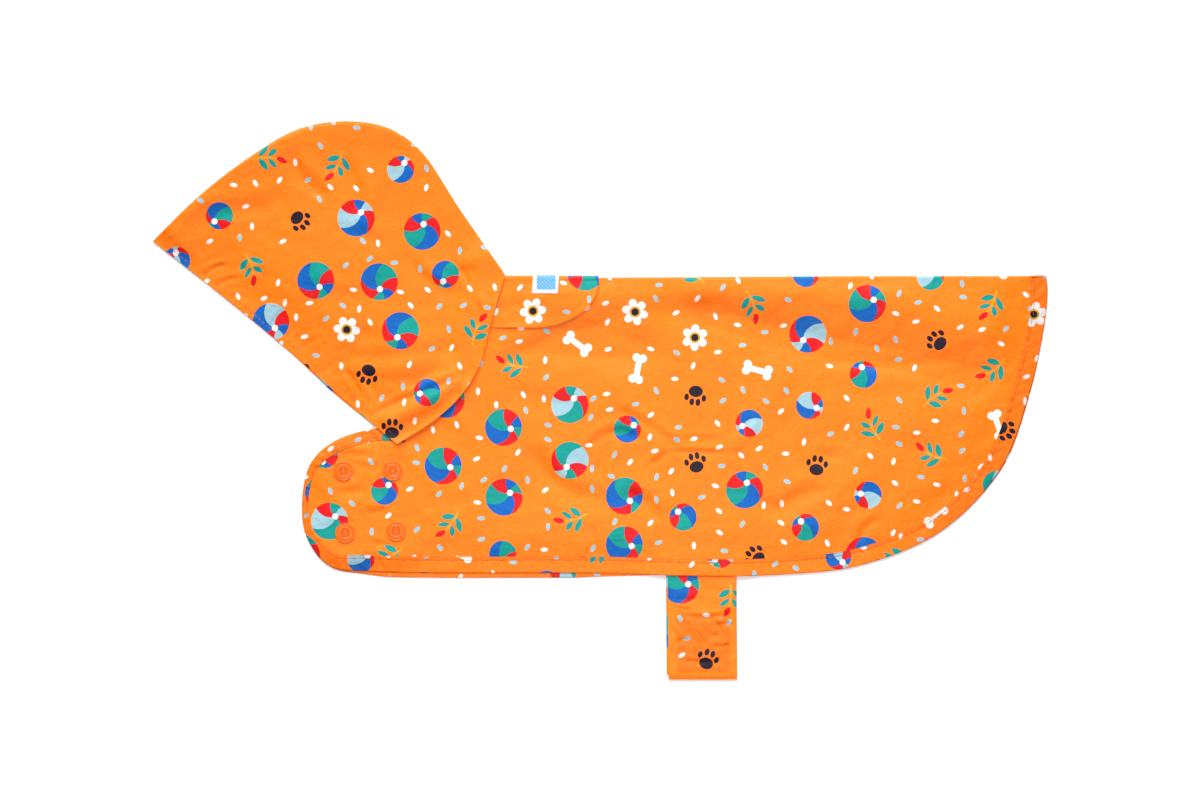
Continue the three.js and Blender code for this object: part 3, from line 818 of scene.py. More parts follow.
def ball(s, at, shade):
    """A ball of six swirled panels that meet at a cap near its edge. Some are small."""
    small = s.within(s.math("FRACT", s.times(shade, 7.0)), SMALL_BALLS)
    radius = s.minus(BALL_RADIUS, s.times(small, SMALL_BALL_BY))
    x, y = s.parts(s.vector("SUBTRACT", at, BALL_CAP))
    reach = s.length(s.point(x, y))
    angle = s.math("DIVIDE", s.math("ARCTAN2", y, x), math.tau)
    swirl = s.plus(angle, s.times(reach, SWIRL))
    panel = s.math("FLOOR", s.times(s.math("FRACT", swirl), 6.0))
    kind = s.math("FLOORED_MODULO", panel, 3.0)
    first = s.paint(s.beyond(shade, 0.45), BLUE, TEAL)
    last = s.paint(s.beyond(shade, 0.33), TEAL, PALE_BLUE)
    paint = s.paint(s.within(kind, 1.5), last, RED)
    paint = s.paint(s.within(kind, 0.5), paint, first)
    paint = s.paint(s.within(reach, BALL_CAP_RADIUS), paint, WHITE)
    return s.within(s.length(at), radius), paint


def leaf(s, at, centre, turn, half_length, half_width):
    """1 inside a pointed leaf, which is where two wide circles overlap."""
    moved = s.vector("SUBTRACT", at, (*centre, 0))
    values = {"Vector": moved, "Angle": math.radians(turn)}
    turned = add_node(s.tree, "ShaderNodeVectorRotate", values, rotation_type="Z_AXIS")
    x, y = s.parts(turned)
    radius = (half_length**2 + half_width**2) / (2 * half_width)
    raised = s.plus(s.math("ABSOLUTE", y), radius - half_width)
    return s.within(s.length(s.point(x, raised)), radius)


def sprig(s, at, shade):
    """A stem with two pairs of leaves and a bud."""
    x, y = s.parts(at)
    bent = s.minus(x, s.times(s.times(y, y), STEM_BEND))
    side = s.math("ABSOLUTE", bent)
    mirrored = s.point(side, y)
    low = leaf(s, mirrored, (4.4, -2.6), -38, 4.8, 1.9)
    high = leaf(s, mirrored, (3.5, 3.2), -46, 3.9, 1.6)
    bud = leaf(s, s.point(bent, y), (0, 9.2), -90, 3.6, 1.9)
    on_length = s.within(s.math("ABSOLUTE", s.plus(y, 1.6)), 8.2)
    stem = s.both(s.within(side, STEM_HALF_WIDTH), on_length)
    leaves = s.either(low, high)
    paint = s.paint(leaves, YELLOW, s.paint(s.beyond(shade, 0.3), BLUE, TEAL))
    paint = s.paint(bud, paint, RED)
    return s.either(s.either(leaves, stem), bud), paint


def flower(s, at, shade):
    """Six white petals round a charcoal middle."""
    x, y = s.parts(at)
    angle = s.times(s.math("ARCTAN2", y, x), 3.0)
    petal = s.math("POWER", s.math("ABSOLUTE", s.math("COSINE", angle)), 0.6)
    edge = s.plus(s.times(petal, 4.2), 4.4)
    reach = s.length(at)
    inside = s.within(reach, edge)
    paint = s.paint(s.within(reach, 3.6), WHITE, YELLOW)
    return inside, s.paint(s.within(reach, 2.4), paint, CHARCOAL)


def paw(s, at, shade):
    """A paw print: a pad and four toes."""
    x, y = s.parts(at)
    mirrored = s.point(s.math("ABSOLUTE", x), y)
    pad = s.oval(at, (0, -2.4), (4.6, 3.7))
    inner = s.oval(mirrored, (2.0, 4.6), (1.55, 2.3))
    outer = s.oval(mirrored, (5.6, 1.7), (1.5, 2.2))
    paint = s.paint(s.beyond(shade, 0.5), RED, CHARCOAL)
    return s.either(pad, s.either(inner, outer)), paint


def bone(s, at, shade):
    """A bone: a bar with two knobs at each end."""
    x, y = s.parts(at)
    x, y = s.math("ABSOLUTE", x), s.math("ABSOLUTE", y)
    bar = s.both(s.within(x, 6.5), s.within(y, 1.9))
    knob = s.oval(s.point(x, y), (7.0, 2.1), (2.7, 2.7))
    return s.either(bar, knob), WHITE


# Columns: motif, from and to in tenths of the cells.
MOTIFS = [
    (ball, 0, 5.1),
    (sprig, 5.1, 7.7),
    (flower, 7.7, 8.3),
    (paw, 8.3, 9.4),
    (bone, 9.4, 10),
]


# %% The print
PRINT_PITCH = 0.039
OVAL_PITCH = 0.0142
OVAL_RADII = (2.45, 1.35)
OVALS_SHOWN = 0.9  # share of the small cells that have an oval
CLEAR_OF_MOTIF = 15.2  # an oval's middle is at least so far from a motif's middle


def build_print():
    inputs = [("Flat", "NodeSocketVector", None), ("Ground", "NodeSocketColor", GROUND)]
    tree, given, result = new_group("printed pattern", inputs, [("Color", "NodeSocketColor")])
    s = Sums(tree)
    flat = given.outputs["Flat"]
    paint = given.outputs["Ground"]

    small = place_group(tree, cells, Flat=flat, Pitch=OVAL_PITCH, Jitter=0.5, Seed=7.0)
    wide = {"Pitch": PRINT_PITCH, "Jitter": 0.26, "Seed": 2.0}
    there = place_group(tree, cells, Flat=small.outputs["Middle"], **wide)
    clear = s.beyond(s.length(there.outputs["Turned"]), CLEAR_OF_MOTIF)
    spot = s.oval(small.outputs["Turned"], (0, 0), OVAL_RADII)
    shown = s.both(s.both(spot, clear), s.within(small.outputs["Kind"], OVALS_SHOWN))
    pale = s.paint(s.beyond(small.outputs["Shade"], 0.5), WHITE, PALE_BLUE)
    paint = s.paint(shown, paint, pale)

    main = place_group(tree, cells, Flat=flat, **wide)
    kind = s.times(main.outputs["Kind"], 10.0)
    for motif, start, end in MOTIFS:
        mask, motif_paint = motif(s, main.outputs["Turned"], main.outputs["Shade"])
        chosen = s.both(s.beyond(kind, start), s.within(kind, end))
        paint = s.paint(s.both(mask, chosen), paint, motif_paint)
    tree.links.new(paint, result.inputs["Color"])
    return tree


printed_pattern = build_print()
print("print nodes:", len(printed_pattern.nodes))

# %% [markdown]
# Coated polyester is smooth to the eye, with a plain weave that shows only close by. What the
# eye does see is a faint mottling, because thin cloth is never quite flat, and a soft gloss.
# The weave group gives a height for both, and the same numbers vary the gloss a little.
# They also lighten and darken the colour a little, as painted light and shade.


# %% The weave
def build_weave():
    inputs = [
        ("Flat", "NodeSocketVector", None),
        ("Thread", "NodeSocketFloat", 0.0004),
        ("Crumple", "NodeSocketFloat", 90.0),
    ]
    outputs = [("Height", "NodeSocketFloat"), ("Mottle", "NodeSocketFloat")]
    tree, given, result = new_group("coated weave", inputs, outputs)
    s = Sums(tree)
    flat, thread, crumple = given.outputs[:3]
    x, y = s.parts(s.vector("DIVIDE", flat, s.point(thread, thread)))
    over = s.times(s.math("SINE", s.times(x, math.pi)), 0.5)
    under = s.math("SINE", s.times(y, math.pi))
    threads = s.times(over, under)
    values = {"Vector": flat, "Scale": crumple, "Detail": 3.0, "Roughness": 0.55}
    mottle = add_node(tree, "ShaderNodeTexNoise", values)
    height = s.plus(s.times(threads, 0.04), mottle)
    tree.links.new(height, result.inputs["Height"])
    tree.links.new(mottle, result.inputs["Mottle"])
    return tree


weave = build_weave()


# %% Cloth materials
MOTTLE_SHADE = 0.12  # how much painted light and shade the mottling puts into the cloth's colour
SEAM_SHADE = 0.4
MOTTLE_GLOSS = 0.2
LEAST_ROUGHNESS = 0.36
BUMP_DISTANCE = 0.0014


def cloth_material(name, ground):
    """Printed cloth. The attribute `seam` holds painted shade, such as along a seam."""
    material, tree, shader = new_material(name)
    s = Sums(tree)
    flat = add_node(tree, "ShaderNodeUVMap", uv_map="Cloth")
    seam = add_node(tree, "ShaderNodeAttribute", output="Fac", attribute_name="seam")
    pattern = place_group(tree, printed_pattern, Flat=flat, Ground=ground)
    cloth = place_group(tree, weave, Flat=flat)
    mottle = cloth.outputs["Mottle"]
    # Painted light and shade: the mottling lightens and darkens the colour, and the seam
    # attribute darkens it.
    shade = s.plus(s.times(mottle, MOTTLE_SHADE), 1 - MOTTLE_SHADE / 2)
    shade = s.times(shade, s.minus(1.0, s.times(seam, SEAM_SHADE)))
    tint = s.vector("SCALE", pattern.outputs["Color"], Scale=shade)
    tree.links.new(tint, shader.inputs["Base Color"])
    gloss = s.plus(s.times(mottle, MOTTLE_GLOSS), LEAST_ROUGHNESS)
    tree.links.new(gloss, shader.inputs["Roughness"])
    values = {"Height": cloth.outputs["Height"], "Strength": 1.0, "Distance": BUMP_DISTANCE}
    bump = add_node(tree, "ShaderNodeBump", values)
    tree.links.new(bump, shader.inputs["Normal"])
    shader.inputs["Specular IOR Level"].default_value = 0.16
    return material


printed_cloth = cloth_material("printed cloth", GROUND)
strip_cloth = cloth_material("strip cloth", colour(306, 143, 20))

# %% [markdown]
# ## The body
#
# The real body is one piece, folded along the dog's back. So it is one mesh here: a grid for
# the near half, one for the round fold at the spine, and one for the far half, welded where
# they meet. Under the hood the near half runs on for a few millimetres, as a seam allowance.

# %% Body
CHEST_COLUMNS = 28
NECK_COLUMNS = 54
BACK_COLUMNS = 152
NEAR_ROWS = 124
FOLD_ROWS = 10
FAR_ROWS = 34
NECK_LAP = 4  # the seam allowance under the hood
NECK_LAP_START = 7
NECK_SEAM_GAP = 0.15  # from the neck's line to each far panel
COLUMNS = CHEST_COLUMNS + NECK_COLUMNS + BACK_COLUMNS
neck_length = travelled(neck)[-1]
tail_end = hem_length - back_fold(hem[-1:, 0])[2][0] - HALF_FOLD


def half_borders(rows, chest_top, neck_edge, shift):
    """The four borders of a half. `shift` moves the hem outwards, by the distance along it."""

    def on_hem(start, end, cells):
        along = np.linspace(start, end, cells + 1)
        return beside(hem, along, shift(along))

    left = on_hem(CHEST_LOW, CHEST_TOP, rows)
    right = on_hem(tail_corner, tail_end, rows)
    bottom = on_hem(CHEST_LOW, tail_corner, COLUMNS)
    x = np.linspace(neck_edge[-1, 0], right[-1, 0], BACK_COLUMNS + 1)
    back = np.column_stack([x, back_fold(x)[0]])
    right[-1] = back[-1]
    top = np.concatenate([chest_top[:-1], neck_edge[:-1], back])
    top[0] = left[-1]
    return bottom, top, left, right


neck_steps = np.linspace(NECK_LAP_START, neck_length, NECK_COLUMNS + 1)
lapped = beside(neck, neck_steps, -NECK_LAP)
near_chest = walk(hem, np.linspace(CHEST_TOP, 0, CHEST_COLUMNS + 1))
lapped[0] = near_chest[-1]
near_borders = half_borders(NEAR_ROWS, near_chest, lapped, np.zeros_like)

far_seam = beside(neck, np.linspace(0, neck_length, NECK_COLUMNS + 1), NECK_SEAM_GAP)
chest_corner = walk(hem, np.array([CHEST_TOP]))[0]
shares = np.linspace(0, 1, CHEST_COLUMNS + 1)[:, None]
far_chest = mix(chest_corner, far_seam[0], shares)


def far_shift(along):
    return look_up(FAR_SHOWS, along)


far_borders = half_borders(FAR_ROWS, far_chest, far_seam, far_shift)


def place_near(u, v):
    flat = patch(*near_borders, u, v)
    return np.column_stack([flat, near_z(flat)]), flat


def fold_flat(x, angle):
    """Flat coordinates of a point on the fold: the arc runs on past the near half."""
    y, _, radius = back_fold(x)
    return np.column_stack([x, y + radius * (math.pi / 2 - angle)])


def place_fold(u, v):
    column = CHEST_COLUMNS + NECK_COLUMNS + np.rint(u * BACK_COLUMNS).astype(int)
    x = mix(near_borders[1][column, 0], far_borders[1][column, 0], v)
    angle = math.pi * (0.5 - v)
    return on_fold(x, angle, 0), fold_flat(x, angle)


def place_far(u, v):
    flat = patch(*far_borders, u, 1 - v)
    x = np.clip(flat[:, 0], SPINE[0][0], SPINE[-1][0])
    y, _, radius = back_fold(x)
    unrolled = y + math.pi * radius + (y - flat[:, 1])
    return np.column_stack([flat, far_z(flat)]), np.column_stack([flat[:, 0], unrolled])


near_half = (COLUMNS, NEAR_ROWS, place_near)
back = (BACK_COLUMNS, FOLD_ROWS, place_fold)
far_half = (COLUMNS, FAR_ROWS, place_far)
body = make_sheet("body_cloth", printed_cloth, near_half, back, far_half)

# %% [markdown]
# ## The strip round the hem
#
# The hem is bound with a strip of the same cloth. It is folded over the edge, so its print
# doesn't match the body's, and stitched down near its inner edge. It is a sweep: a cross-section
# from a table goes along the near hem, round the fold at the tail and back along the far hem.

# %% Hem strip
STRIP_STEP = 1.6
STRIP_WALL = 0.22
# The strip's cross-section. Columns: share of the width and millimetres in from the hem, and
# the height over the middle of the body's wall.
STRIP_SECTION = [
    (0, 3.2, -0.32),
    (0, 1.2, -0.36),
    (0, 0.1, -0.3),
    (0, -0.3, 0.0),
    (0, 0.1, 0.36),
    (0.1, 0, 0.46),
    (0.4, 0, 0.52),
    (0.7, 0, 0.44),
    (0.75, 0, 0.4),
    (0.78, 0, 0.27),
    (0.81, 0, 0.4),
    (0.9, 0, 0.42),
    (0.97, 0, 0.34),
    (1, 0, 0.24),
]
# How much the strip puckers, by the distance along the hem: most where the hem bends.
STRIP_PUCKER = [(0, 1.4), (150, 1.6), (190, 0.7), (230, 0.4), (500, 0.5), (560, 1.3), (760, 1.5)]
STITCH_SHARE = 0.78  # where the row of stitches is, as a share of the width
STITCH_PUCKER = 0.2
SLANT_PUCKER = 0.1
SEAM_HALF_WIDTH = 0.06
INNER_EDGE = 0.9
PUCKER_SHADE = 0.36
SECTION_CELLS = 34
USUAL_WIDTH = 10
NEAR_STRIP_PRINT = {"turn": 180, "shift": (610, -340)}
FAR_STRIP_PRINT = {"turn": 0, "shift": (-80, 420)}
FAR_STRIP_SQUASH = 0.62  # the coat's weight presses the far strip flat
FAR_STRIP_LEAST = 0.12
section_line = line_through([(share * USUAL_WIDTH, *rest) for share, *rest in STRIP_SECTION])
section_length = travelled(section_line)[-1]


def section_at(v):
    """Share of the width, millimetres inwards and height, by the place across the strip."""
    width, inward, up = walk(section_line, v * section_length).T
    return width / USUAL_WIDTH, inward, up


def strip_place(along, v, shift, height, side):
    """Points of the strip on one half: side is 1 for the near half and -1 for the far one."""
    share, inward, up = section_at(v)
    width = look_up(STRIP_WIDTH, along)
    reach = share * width + inward
    edge = beside(hem, along, shift)
    points = edge - rights(hem, along) * reach[:, None]
    pucker = STITCH_PUCKER * seam_pucker(along) * bell((share - STITCH_SHARE) / 0.3)
    slant = np.sin(0.95 * (along + 0.8 * reach) + 1.8 * np.sin(0.17 * along))
    pucker += SLANT_PUCKER * slant * look_up(STRIP_PUCKER, along) * smooth(share / 0.2)
    z = height(points) + side * (up + pucker)
    return np.column_stack([points, z]), np.column_stack([along, reach])


def strip_seam_shade(along, v):
    """Painted shade: 1 along the row of stitches and along the strip's inner edge, where the
    cloth lies in shade. Where the strip puckers round a bend, all of it gets painted shade."""
    share = section_at(v)[0]
    row = 1 - smooth(np.abs(share - STITCH_SHARE) / SEAM_HALF_WIDTH)
    lines = np.maximum(row, smooth((share - INNER_EDGE) / SEAM_HALF_WIDTH))
    return np.maximum(lines, PUCKER_SHADE * smooth(look_up(STRIP_PUCKER, along) - 0.5))


def seam_shade_from(start, end):
    """The painted shade on a grid that runs along the hem from `start` to `end`."""
    return lambda u, v: strip_seam_shade(mix(start, end, u), v)


def place_strip_near(u, v):
    points, flat = strip_place(u * tail_end, v, 0, near_z, 1)
    return points, print_place(flat, **NEAR_STRIP_PRINT)


def place_strip_fold(u, v):
    share, inward, up = section_at(v)
    reach = share * look_up(STRIP_WIDTH, [tail_end])[0] + inward
    x = walk(hem, np.array([tail_end]))[0, 0] - reach
    angle = math.pi * (0.5 - u)
    flat = np.column_stack([tail_end + 2 * math.pi * u, reach])
    return on_fold(x, angle, up), print_place(flat, **NEAR_STRIP_PRINT)


def place_strip_far(u, v):
    along = (1 - u) * tail_end
    points, flat = strip_place(along, v, far_shift(along), far_z, -FAR_STRIP_SQUASH)
    points[:, 2] = np.maximum(points[:, 2], FAR_STRIP_LEAST)
    return points, print_place(flat, **FAR_STRIP_PRINT)


strip_columns = round(tail_end / STRIP_STEP)
# Each run's last column is its painted shade along the seams and puckers.
near_run = (strip_columns, SECTION_CELLS, place_strip_near, seam_shade_from(0, tail_end))
tail_run = (FOLD_ROWS, SECTION_CELLS, place_strip_fold, seam_shade_from(tail_end, tail_end))
far_run = (strip_columns, SECTION_CELLS, place_strip_far, seam_shade_from(tail_end, 0))
hem_strip = make_sheet("hem_strip_cloth", strip_cloth, near_run, tail_run, wall=STRIP_WALL)
far_strip = make_sheet("hem_strip_far_cloth", strip_cloth, far_run, wall=STRIP_WALL)

# %% [markdown]
# ## The hood
#
# Two panels meet along the crown. Laid flat, the near panel stands up like a shallow pillow,
# and where it meets the neck seam it rolls over the body. All rows of its grid start from one
# point, the hood's peak, so the vertices there are welded into one.

# %% Hood heights
HOOD_FOLDS = [
    (-2.4, 7, (-150, -9), (-110.5, 6.5), (-80, 20)),
    (-1.6, 10, (-240, 86), (-205, 50)),
    (-1.8, 13, (-132, 132), (-112, 60)),
    (-1.4, 9, (-176, 20), (-150, 44)),
]
# These stand on whatever lies under the hood.
HOOD_ROLLS = [
    (2.6, 5.8, (-138, -15), (-112, -1), (-92, 13)),
]
HOOD_CREASES = [
    # The rolls where the hood bends to the neck.
    (1.3, 2.2, (-152, -12), (-131, -1), (-111, 7), (-82, 20)),
    (0.45, 4.4, (-170, 17), (-150, 13.5), (-130, 13), (-110, 18), (-96, 21)),
    (0.5, 4.4, (-172, 26), (-137, 29), (-111, 32), (-78, 29)),
    (0.6, -2, (-151, 20), (-150, 10), (-145, 3)),
    (1.1, -1.8, (-166, 21), (-161, 14), (-157.5, 7), (-158, 2), (-161, -2)),
    # The side and the crown.
    (0.85, 6, (-264, 100), (-256, 119), (-236, 123), (-214, 127), (-198, 137)),
    (1.0, 4.5, (-201, 164), (-197, 150), (-186, 138), (-172, 128)),
    (1.0, 5.5, (-168, 160), (-162, 146), (-158, 128), (-166, 112)),
    (0.6, 5, (-176, 116), (-150, 104), (-128, 96)),
    (0.8, 4, (-130, 92), (-106, 74), (-90, 64)),
    (0.5, 7, (-150, 84), (-132, 60), (-120, 44)),
    (0.5, 6, (-196, 76), (-170, 66), (-146, 68)),
    (0.6, 2.5, (-100, 80), (-90, 84), (-76, 86)),
    (0.7, -2.4, (-98, 92), (-90, 84), (-84, 74)),
    (0.6, 2.4, (-84, 68), (-79, 60), (-80, 46)),
    # Puckers along the opening.
    (0.7, 1.5, (-262, 77), (-251, 86), (-238, 89)),
    (0.5, 1.7, (-254, 70), (-243, 78), (-230, 80)),
    (0.35, 2, (-236, 90), (-228, 84), (-214, 87)),
    (0.3, 1.6, (-246, 64), (-236, 68), (-226, 65)),
    (0.3, -1.5, (-226, 53), (-218, 61), (-212, 72)),
    (0.4, 1.6, (-216, 44), (-210, 54), (-200, 62)),
    (0.35, -1.4, (-209, 38), (-199, 45), (-196, 58)),
    (0.4, 1.7, (-198, 30), (-188, 38), (-178, 44)),
    (0.3, -1.6, (-186, 22), (-182, 33), (-174, 39)),
    (0.35, 1.8, (-181, 17), (-172, 25), (-160, 26)),
    (0.3, 1.4, (-166, 3), (-158, 8), (-152, 6)),
]
HOOD_RIPPLES = [(15, 0.34, 0.4), (6, 0.11, 1.1), (2.4, 0.035, 2.4)]
# The gathers along the opening: they grow over the first millimetres from the peak, and reach
# some millimetres into the panel.
GATHER_START = 40
GATHER_LENGTH = 12
GATHER_HEIGHT = 0.1
HOOD_STITCHES_IN = 3.4
LAP_ROOM = 14
LAP_SLOPE = 20
# Millimetres in from the crown or the opening over which these grow to their full height.
RIPPLES_EASE = 10
ROLLS_EASE = 8
HOOD_CREASES_EASE = 5
chest_top_line = walk(hem, np.linspace(0, CHEST_TOP, 20))
# How far the seam allowances lift the crown, by the distance along the crown.
CROWN_LIP = [(0, 0.4), (12, 3.4), (60, 4.2), (110, 4.0), (150, 3.0), (200, 1.6), (300, 0.8)]
LIP_EASE = 24  # how wide the lifted band is
LIP_STEEP = 0.6  # how far in from its seam the crown is fully up
LIP_START = 12  # how far from the opening the lifted band has its full height
# How far the hood's edge is turned up, by the distance along the neck.
SEAM_LIFT = [(0, 1.1), (30, 1.8), (60, 1.6), (95, 0.9), (140, 0.3)]
SEAM_LIFT_WIDTH = 2
# How deep the hem's seam is pressed into the hood, by the distance along the opening.
OPENING_GROOVE = [(0, 0.05), (130, 0.1), (205, 0.14)]
GROOVE_WIDTH = 0.9


def hood_z(points):
    to_crown, along_crown, _ = from_line(points, coarse_crown)
    to_opening, along_opening, _ = from_line(points, coarse_opening)
    to_neck, along_neck, _ = from_line(points, coarse_neck)
    to_free_edge = np.minimum(to_crown, to_opening)
    inward = smooth(np.minimum(to_opening, to_neck) / HOOD_EASE)
    inward *= smooth(to_crown / CROWN_EASE)
    free = NEAR_MID + inward * (HOOD_FULLNESS + folds(points, HOOD_FOLDS))
    on_strip = 1 - smooth((from_line(points, chest_top_line)[0] - LAP_ROOM) / LAP_SLOPE)
    on_body = near_z(points) + STEP * (1 + on_strip)
    z = np.maximum(free, mix(on_body, NEAR_MID, smooth((to_neck - LAP_ROOM) / LAP_SLOPE)))
    z += smooth(to_free_edge / ROLLS_EASE) * folds(points, HOOD_ROLLS)
    lip = look_up(CROWN_LIP, along_crown) * bell(to_crown / LIP_EASE)
    z += smooth(to_crown / LIP_STEEP) * smooth(to_opening / LIP_START) * lip
    z += smooth(to_free_edge / HOOD_CREASES_EASE) * creases(points, HOOD_CREASES)
    z += smooth(to_free_edge / RIPPLES_EASE) * unevenness(points, HOOD_RIPPLES)
    gather = np.sin(along_opening / 1.1 + 2.6 * np.sin(along_opening / 13) + to_opening / 5)
    gather *= 0.6 + 0.4 * np.sin(along_opening / 9.1)
    strength = smooth(along_opening / GATHER_START) * bell(to_opening / GATHER_LENGTH)
    z += GATHER_HEIGHT * gather * strength
    groove = bell((to_opening - HOOD_STITCHES_IN) / GROOVE_WIDTH)
    z -= look_up(OPENING_GROOVE, along_opening) * groove
    # The panel's edge is turned in and sewn down along the neck.
    return z + look_up(SEAM_LIFT, along_neck) * bell(to_neck / SEAM_LIFT_WIDTH)


# %% Hood panels
HOOD_COLUMNS = 150
HOOD_ROWS = 96
ROWS_DENSER = 1.3  # the rows are closer near the opening, where the hem is
CROWN_EDGE = 0.0035  # share of the width that the last row of faces takes, at the crown
FINE_ROWS = 1500  # steps of the neck's border, so that any row finds its place
FAR_HOOD_COLUMNS = 90
FAR_HOOD_ROWS = 50
FAR_OPENING_STEPS = 60
# How far the far panel shows, by the distance along the opening.
FAR_OPENING_SHOWS = [(0, 0), (60, 0.4), (118, 0.4), (146, 1.7), (170, 0.9), (195, 0), (205, 0)]
FAR_NECK_EASE = 10
FAR_HOOD_RIPPLES = (12, 0.05)


def hood_borders(edge, neck_edge, columns, rows):
    bottom = walk(edge, np.linspace(0, travelled(edge)[-1], columns + 1))
    top = walk(crown, np.linspace(0, travelled(crown)[-1], columns + 1))
    bottom[-1], top[-1] = neck_edge[0], neck_edge[-1]
    peak = np.repeat(top[:1], rows + 1, axis=0)
    return bottom, top, peak, neck_edge


def place_hood_near(u, v):
    neck_edge = walk(neck, np.linspace(0, neck_length, FINE_ROWS + 1))
    borders = hood_borders(opening, neck_edge, HOOD_COLUMNS, FINE_ROWS)
    row = np.minimum(v * HOOD_ROWS / (HOOD_ROWS - 1), 1) ** ROWS_DENSER * (1 - CROWN_EDGE)
    on_crown = v > 1 - 0.5 / HOOD_ROWS
    flat = patch(*borders, u, np.where(on_crown, 1, row))
    points = np.column_stack([flat, hood_z(flat)])
    # The print runs on down the crown's steep edge.
    along = u[on_crown] * travelled(crown)[-1]
    flat[on_crown] -= rights(crown, along) * look_up(CROWN_LIP, along)[:, None]
    return points, print_place(flat, turn=-24, shift=(37, 512))


near_panel = (HOOD_COLUMNS, HOOD_ROWS, place_hood_near)
hood_near = make_sheet("hood_near_cloth", printed_cloth, near_panel)


def place_hood_far(u, v):
    steps = np.linspace(0, travelled(opening)[-1], FAR_OPENING_STEPS)
    edge = beside(opening, steps, look_up(FAR_OPENING_SHOWS, steps))
    neck_edge = beside(neck, np.linspace(0, neck_length, FAR_HOOD_ROWS + 1), -NECK_SEAM_GAP)
    borders = hood_borders(edge, neck_edge, FAR_HOOD_COLUMNS, FAR_HOOD_ROWS)
    flat = patch(*borders, u, 1 - v)
    to_neck = from_line(flat, coarse_neck)[0]
    z = mix(far_z(flat), FAR_MID, smooth(to_neck / FAR_NECK_EASE))
    z += ripples(flat, *FAR_HOOD_RIPPLES)
    return np.column_stack([flat, z]), print_place(flat, turn=24, shift=(-402, 95))


far_panel = (FAR_HOOD_COLUMNS, FAR_HOOD_ROWS, place_hood_far)
hood_far = make_sheet("hood_far_cloth", printed_cloth, far_panel)

# %% [markdown]
# ## The flap and its label
#
# A flap covers the hole for the leash. It lies over the spine behind the neck, with a straight
# part and a rounded end. It is cut from two layers, so its wall is thicker, and its free edge
# stands off the body a little, which is what draws the dark line under it. The label is a small
# woven ribbon, sewn on at the spine.

# %% Flap
FLAP_STRAIGHT_TO = -46
FLAP_END_DEPTH = 3
FLAP_GAP = 0.25  # between the flap and the hood's edge
FLAP_COLUMNS = 48
FLAP_ROWS = 60
LEAF_SHARE = 0.45  # of the rows on each side of the fold
FLAP_STRAIGHT_SHARE = 0.4
FLAP_WALL = 0.45
FLAP_SINK = 0.35  # how much closer than a full step the flap lies on the near half
FLAP_LIFT = 0.9  # of its free edge
FLAP_LIFT_WIDTH = 3
FLAP_CREASES = [
    (0.35, 4, (-68, 60), (-48, 61), (-28, 57)),
    (0.3, 3, (-42, 70), (-26, 66), (-10, 66)),
    (0.25, 4, (-60, 76), (-56, 66), (-48, 54)),
]


def neck_x(y):
    return np.interp(y, neck[:, 1], neck[:, 0])


def flap_shape(u):
    """The flap's x and its depth down each side, by the place along it."""
    angle = math.pi / 2 * np.clip((u - FLAP_STRAIGHT_SHARE) / (1 - FLAP_STRAIGHT_SHARE), 0, 1)
    straight = np.clip(u / FLAP_STRAIGHT_SHARE, 0, 1)
    x = mix(NECK[-1][0], FLAP_STRAIGHT_TO, straight)
    x = x + (FLAP_END - FLAP_STRAIGHT_TO) * np.sin(angle)
    return x, mix(FLAP_END_DEPTH, FLAP_DEPTH, np.cos(angle)), straight


def place_flap(u, v):
    x, depth, straight = flap_shape(u)
    y0, _, radius = back_fold(x)
    radius += STEP
    near_share = np.clip(v / LEAF_SHARE, 0, 1)
    far_share = np.clip((1 - v) / LEAF_SHARE, 0, 1)
    turn = np.clip((v - LEAF_SHARE) / (1 - 2 * LEAF_SHARE), 0, 1)
    points = on_fold(x, math.pi * (0.5 - turn), STEP)
    on_near = v < LEAF_SHARE
    on_far = v > 1 - LEAF_SHARE
    near = np.column_stack([x, y0 - depth * (1 - near_share)])
    far = np.column_stack([x, y0 - depth * (1 - far_share)])
    lift = FLAP_LIFT * bell(depth * near_share / FLAP_LIFT_WIDTH) * straight
    near_height = near_z(near) + STEP - FLAP_SINK + lift + creases(near, FLAP_CREASES)
    points[on_near] = np.column_stack([near, near_height])[on_near]
    points[on_far] = np.column_stack([far, far_z(far) - STEP])[on_far]
    beside_hood = mix(neck_x(points[:, 1]) + FLAP_GAP, FLAP_STRAIGHT_TO, straight)
    points[:, 0] = np.where(straight < 1, beside_hood, points[:, 0])
    across = y0 + radius * math.pi * turn
    across = np.where(on_far, across + depth * (1 - far_share), across)
    across = np.where(on_near, near[:, 1], across)
    flat = np.column_stack([points[:, 0], across])
    return points, print_place(flat, turn=4, shift=(148, 233))


flap_grid = (FLAP_COLUMNS, FLAP_ROWS, place_flap)
flap = make_sheet("flap_cloth", printed_cloth, flap_grid, wall=FLAP_WALL)

# %% Label material
PANEL_HALF_WIDTH = 0.0061  # of the blue panel, in metres
PANEL_LOW = -0.0068  # its lower edge, from the spine
STRIPES = 2600.0
label_material, tree, shader = new_material("woven label")
s = Sums(tree)
label_flat = add_node(tree, "ShaderNodeUVMap", uv_map="Cloth")
across, down = s.parts(label_flat)
in_width = s.within(s.math("ABSOLUTE", across), PANEL_HALF_WIDTH)
panel = s.both(in_width, s.beyond(down, PANEL_LOW))
slant = s.math("SINE", s.times(s.plus(across, down), STRIPES))
stripe = s.both(panel, s.beyond(slant, 0.86))
paint = s.paint(panel, colour(246, 247, 250), colour(96, 184, 240))
paint = s.paint(stripe, paint, colour(190, 226, 248))
tree.links.new(paint, shader.inputs["Base Color"])
ribbed = place_group(tree, weave, Flat=label_flat, Thread=0.0006)
values = {"Height": ribbed.outputs["Height"], "Strength": 0.6, "Distance": 0.0006}
tree.links.new(add_node(tree, "ShaderNodeBump", values), shader.inputs["Normal"])
shader.inputs["Roughness"].default_value = 0.75

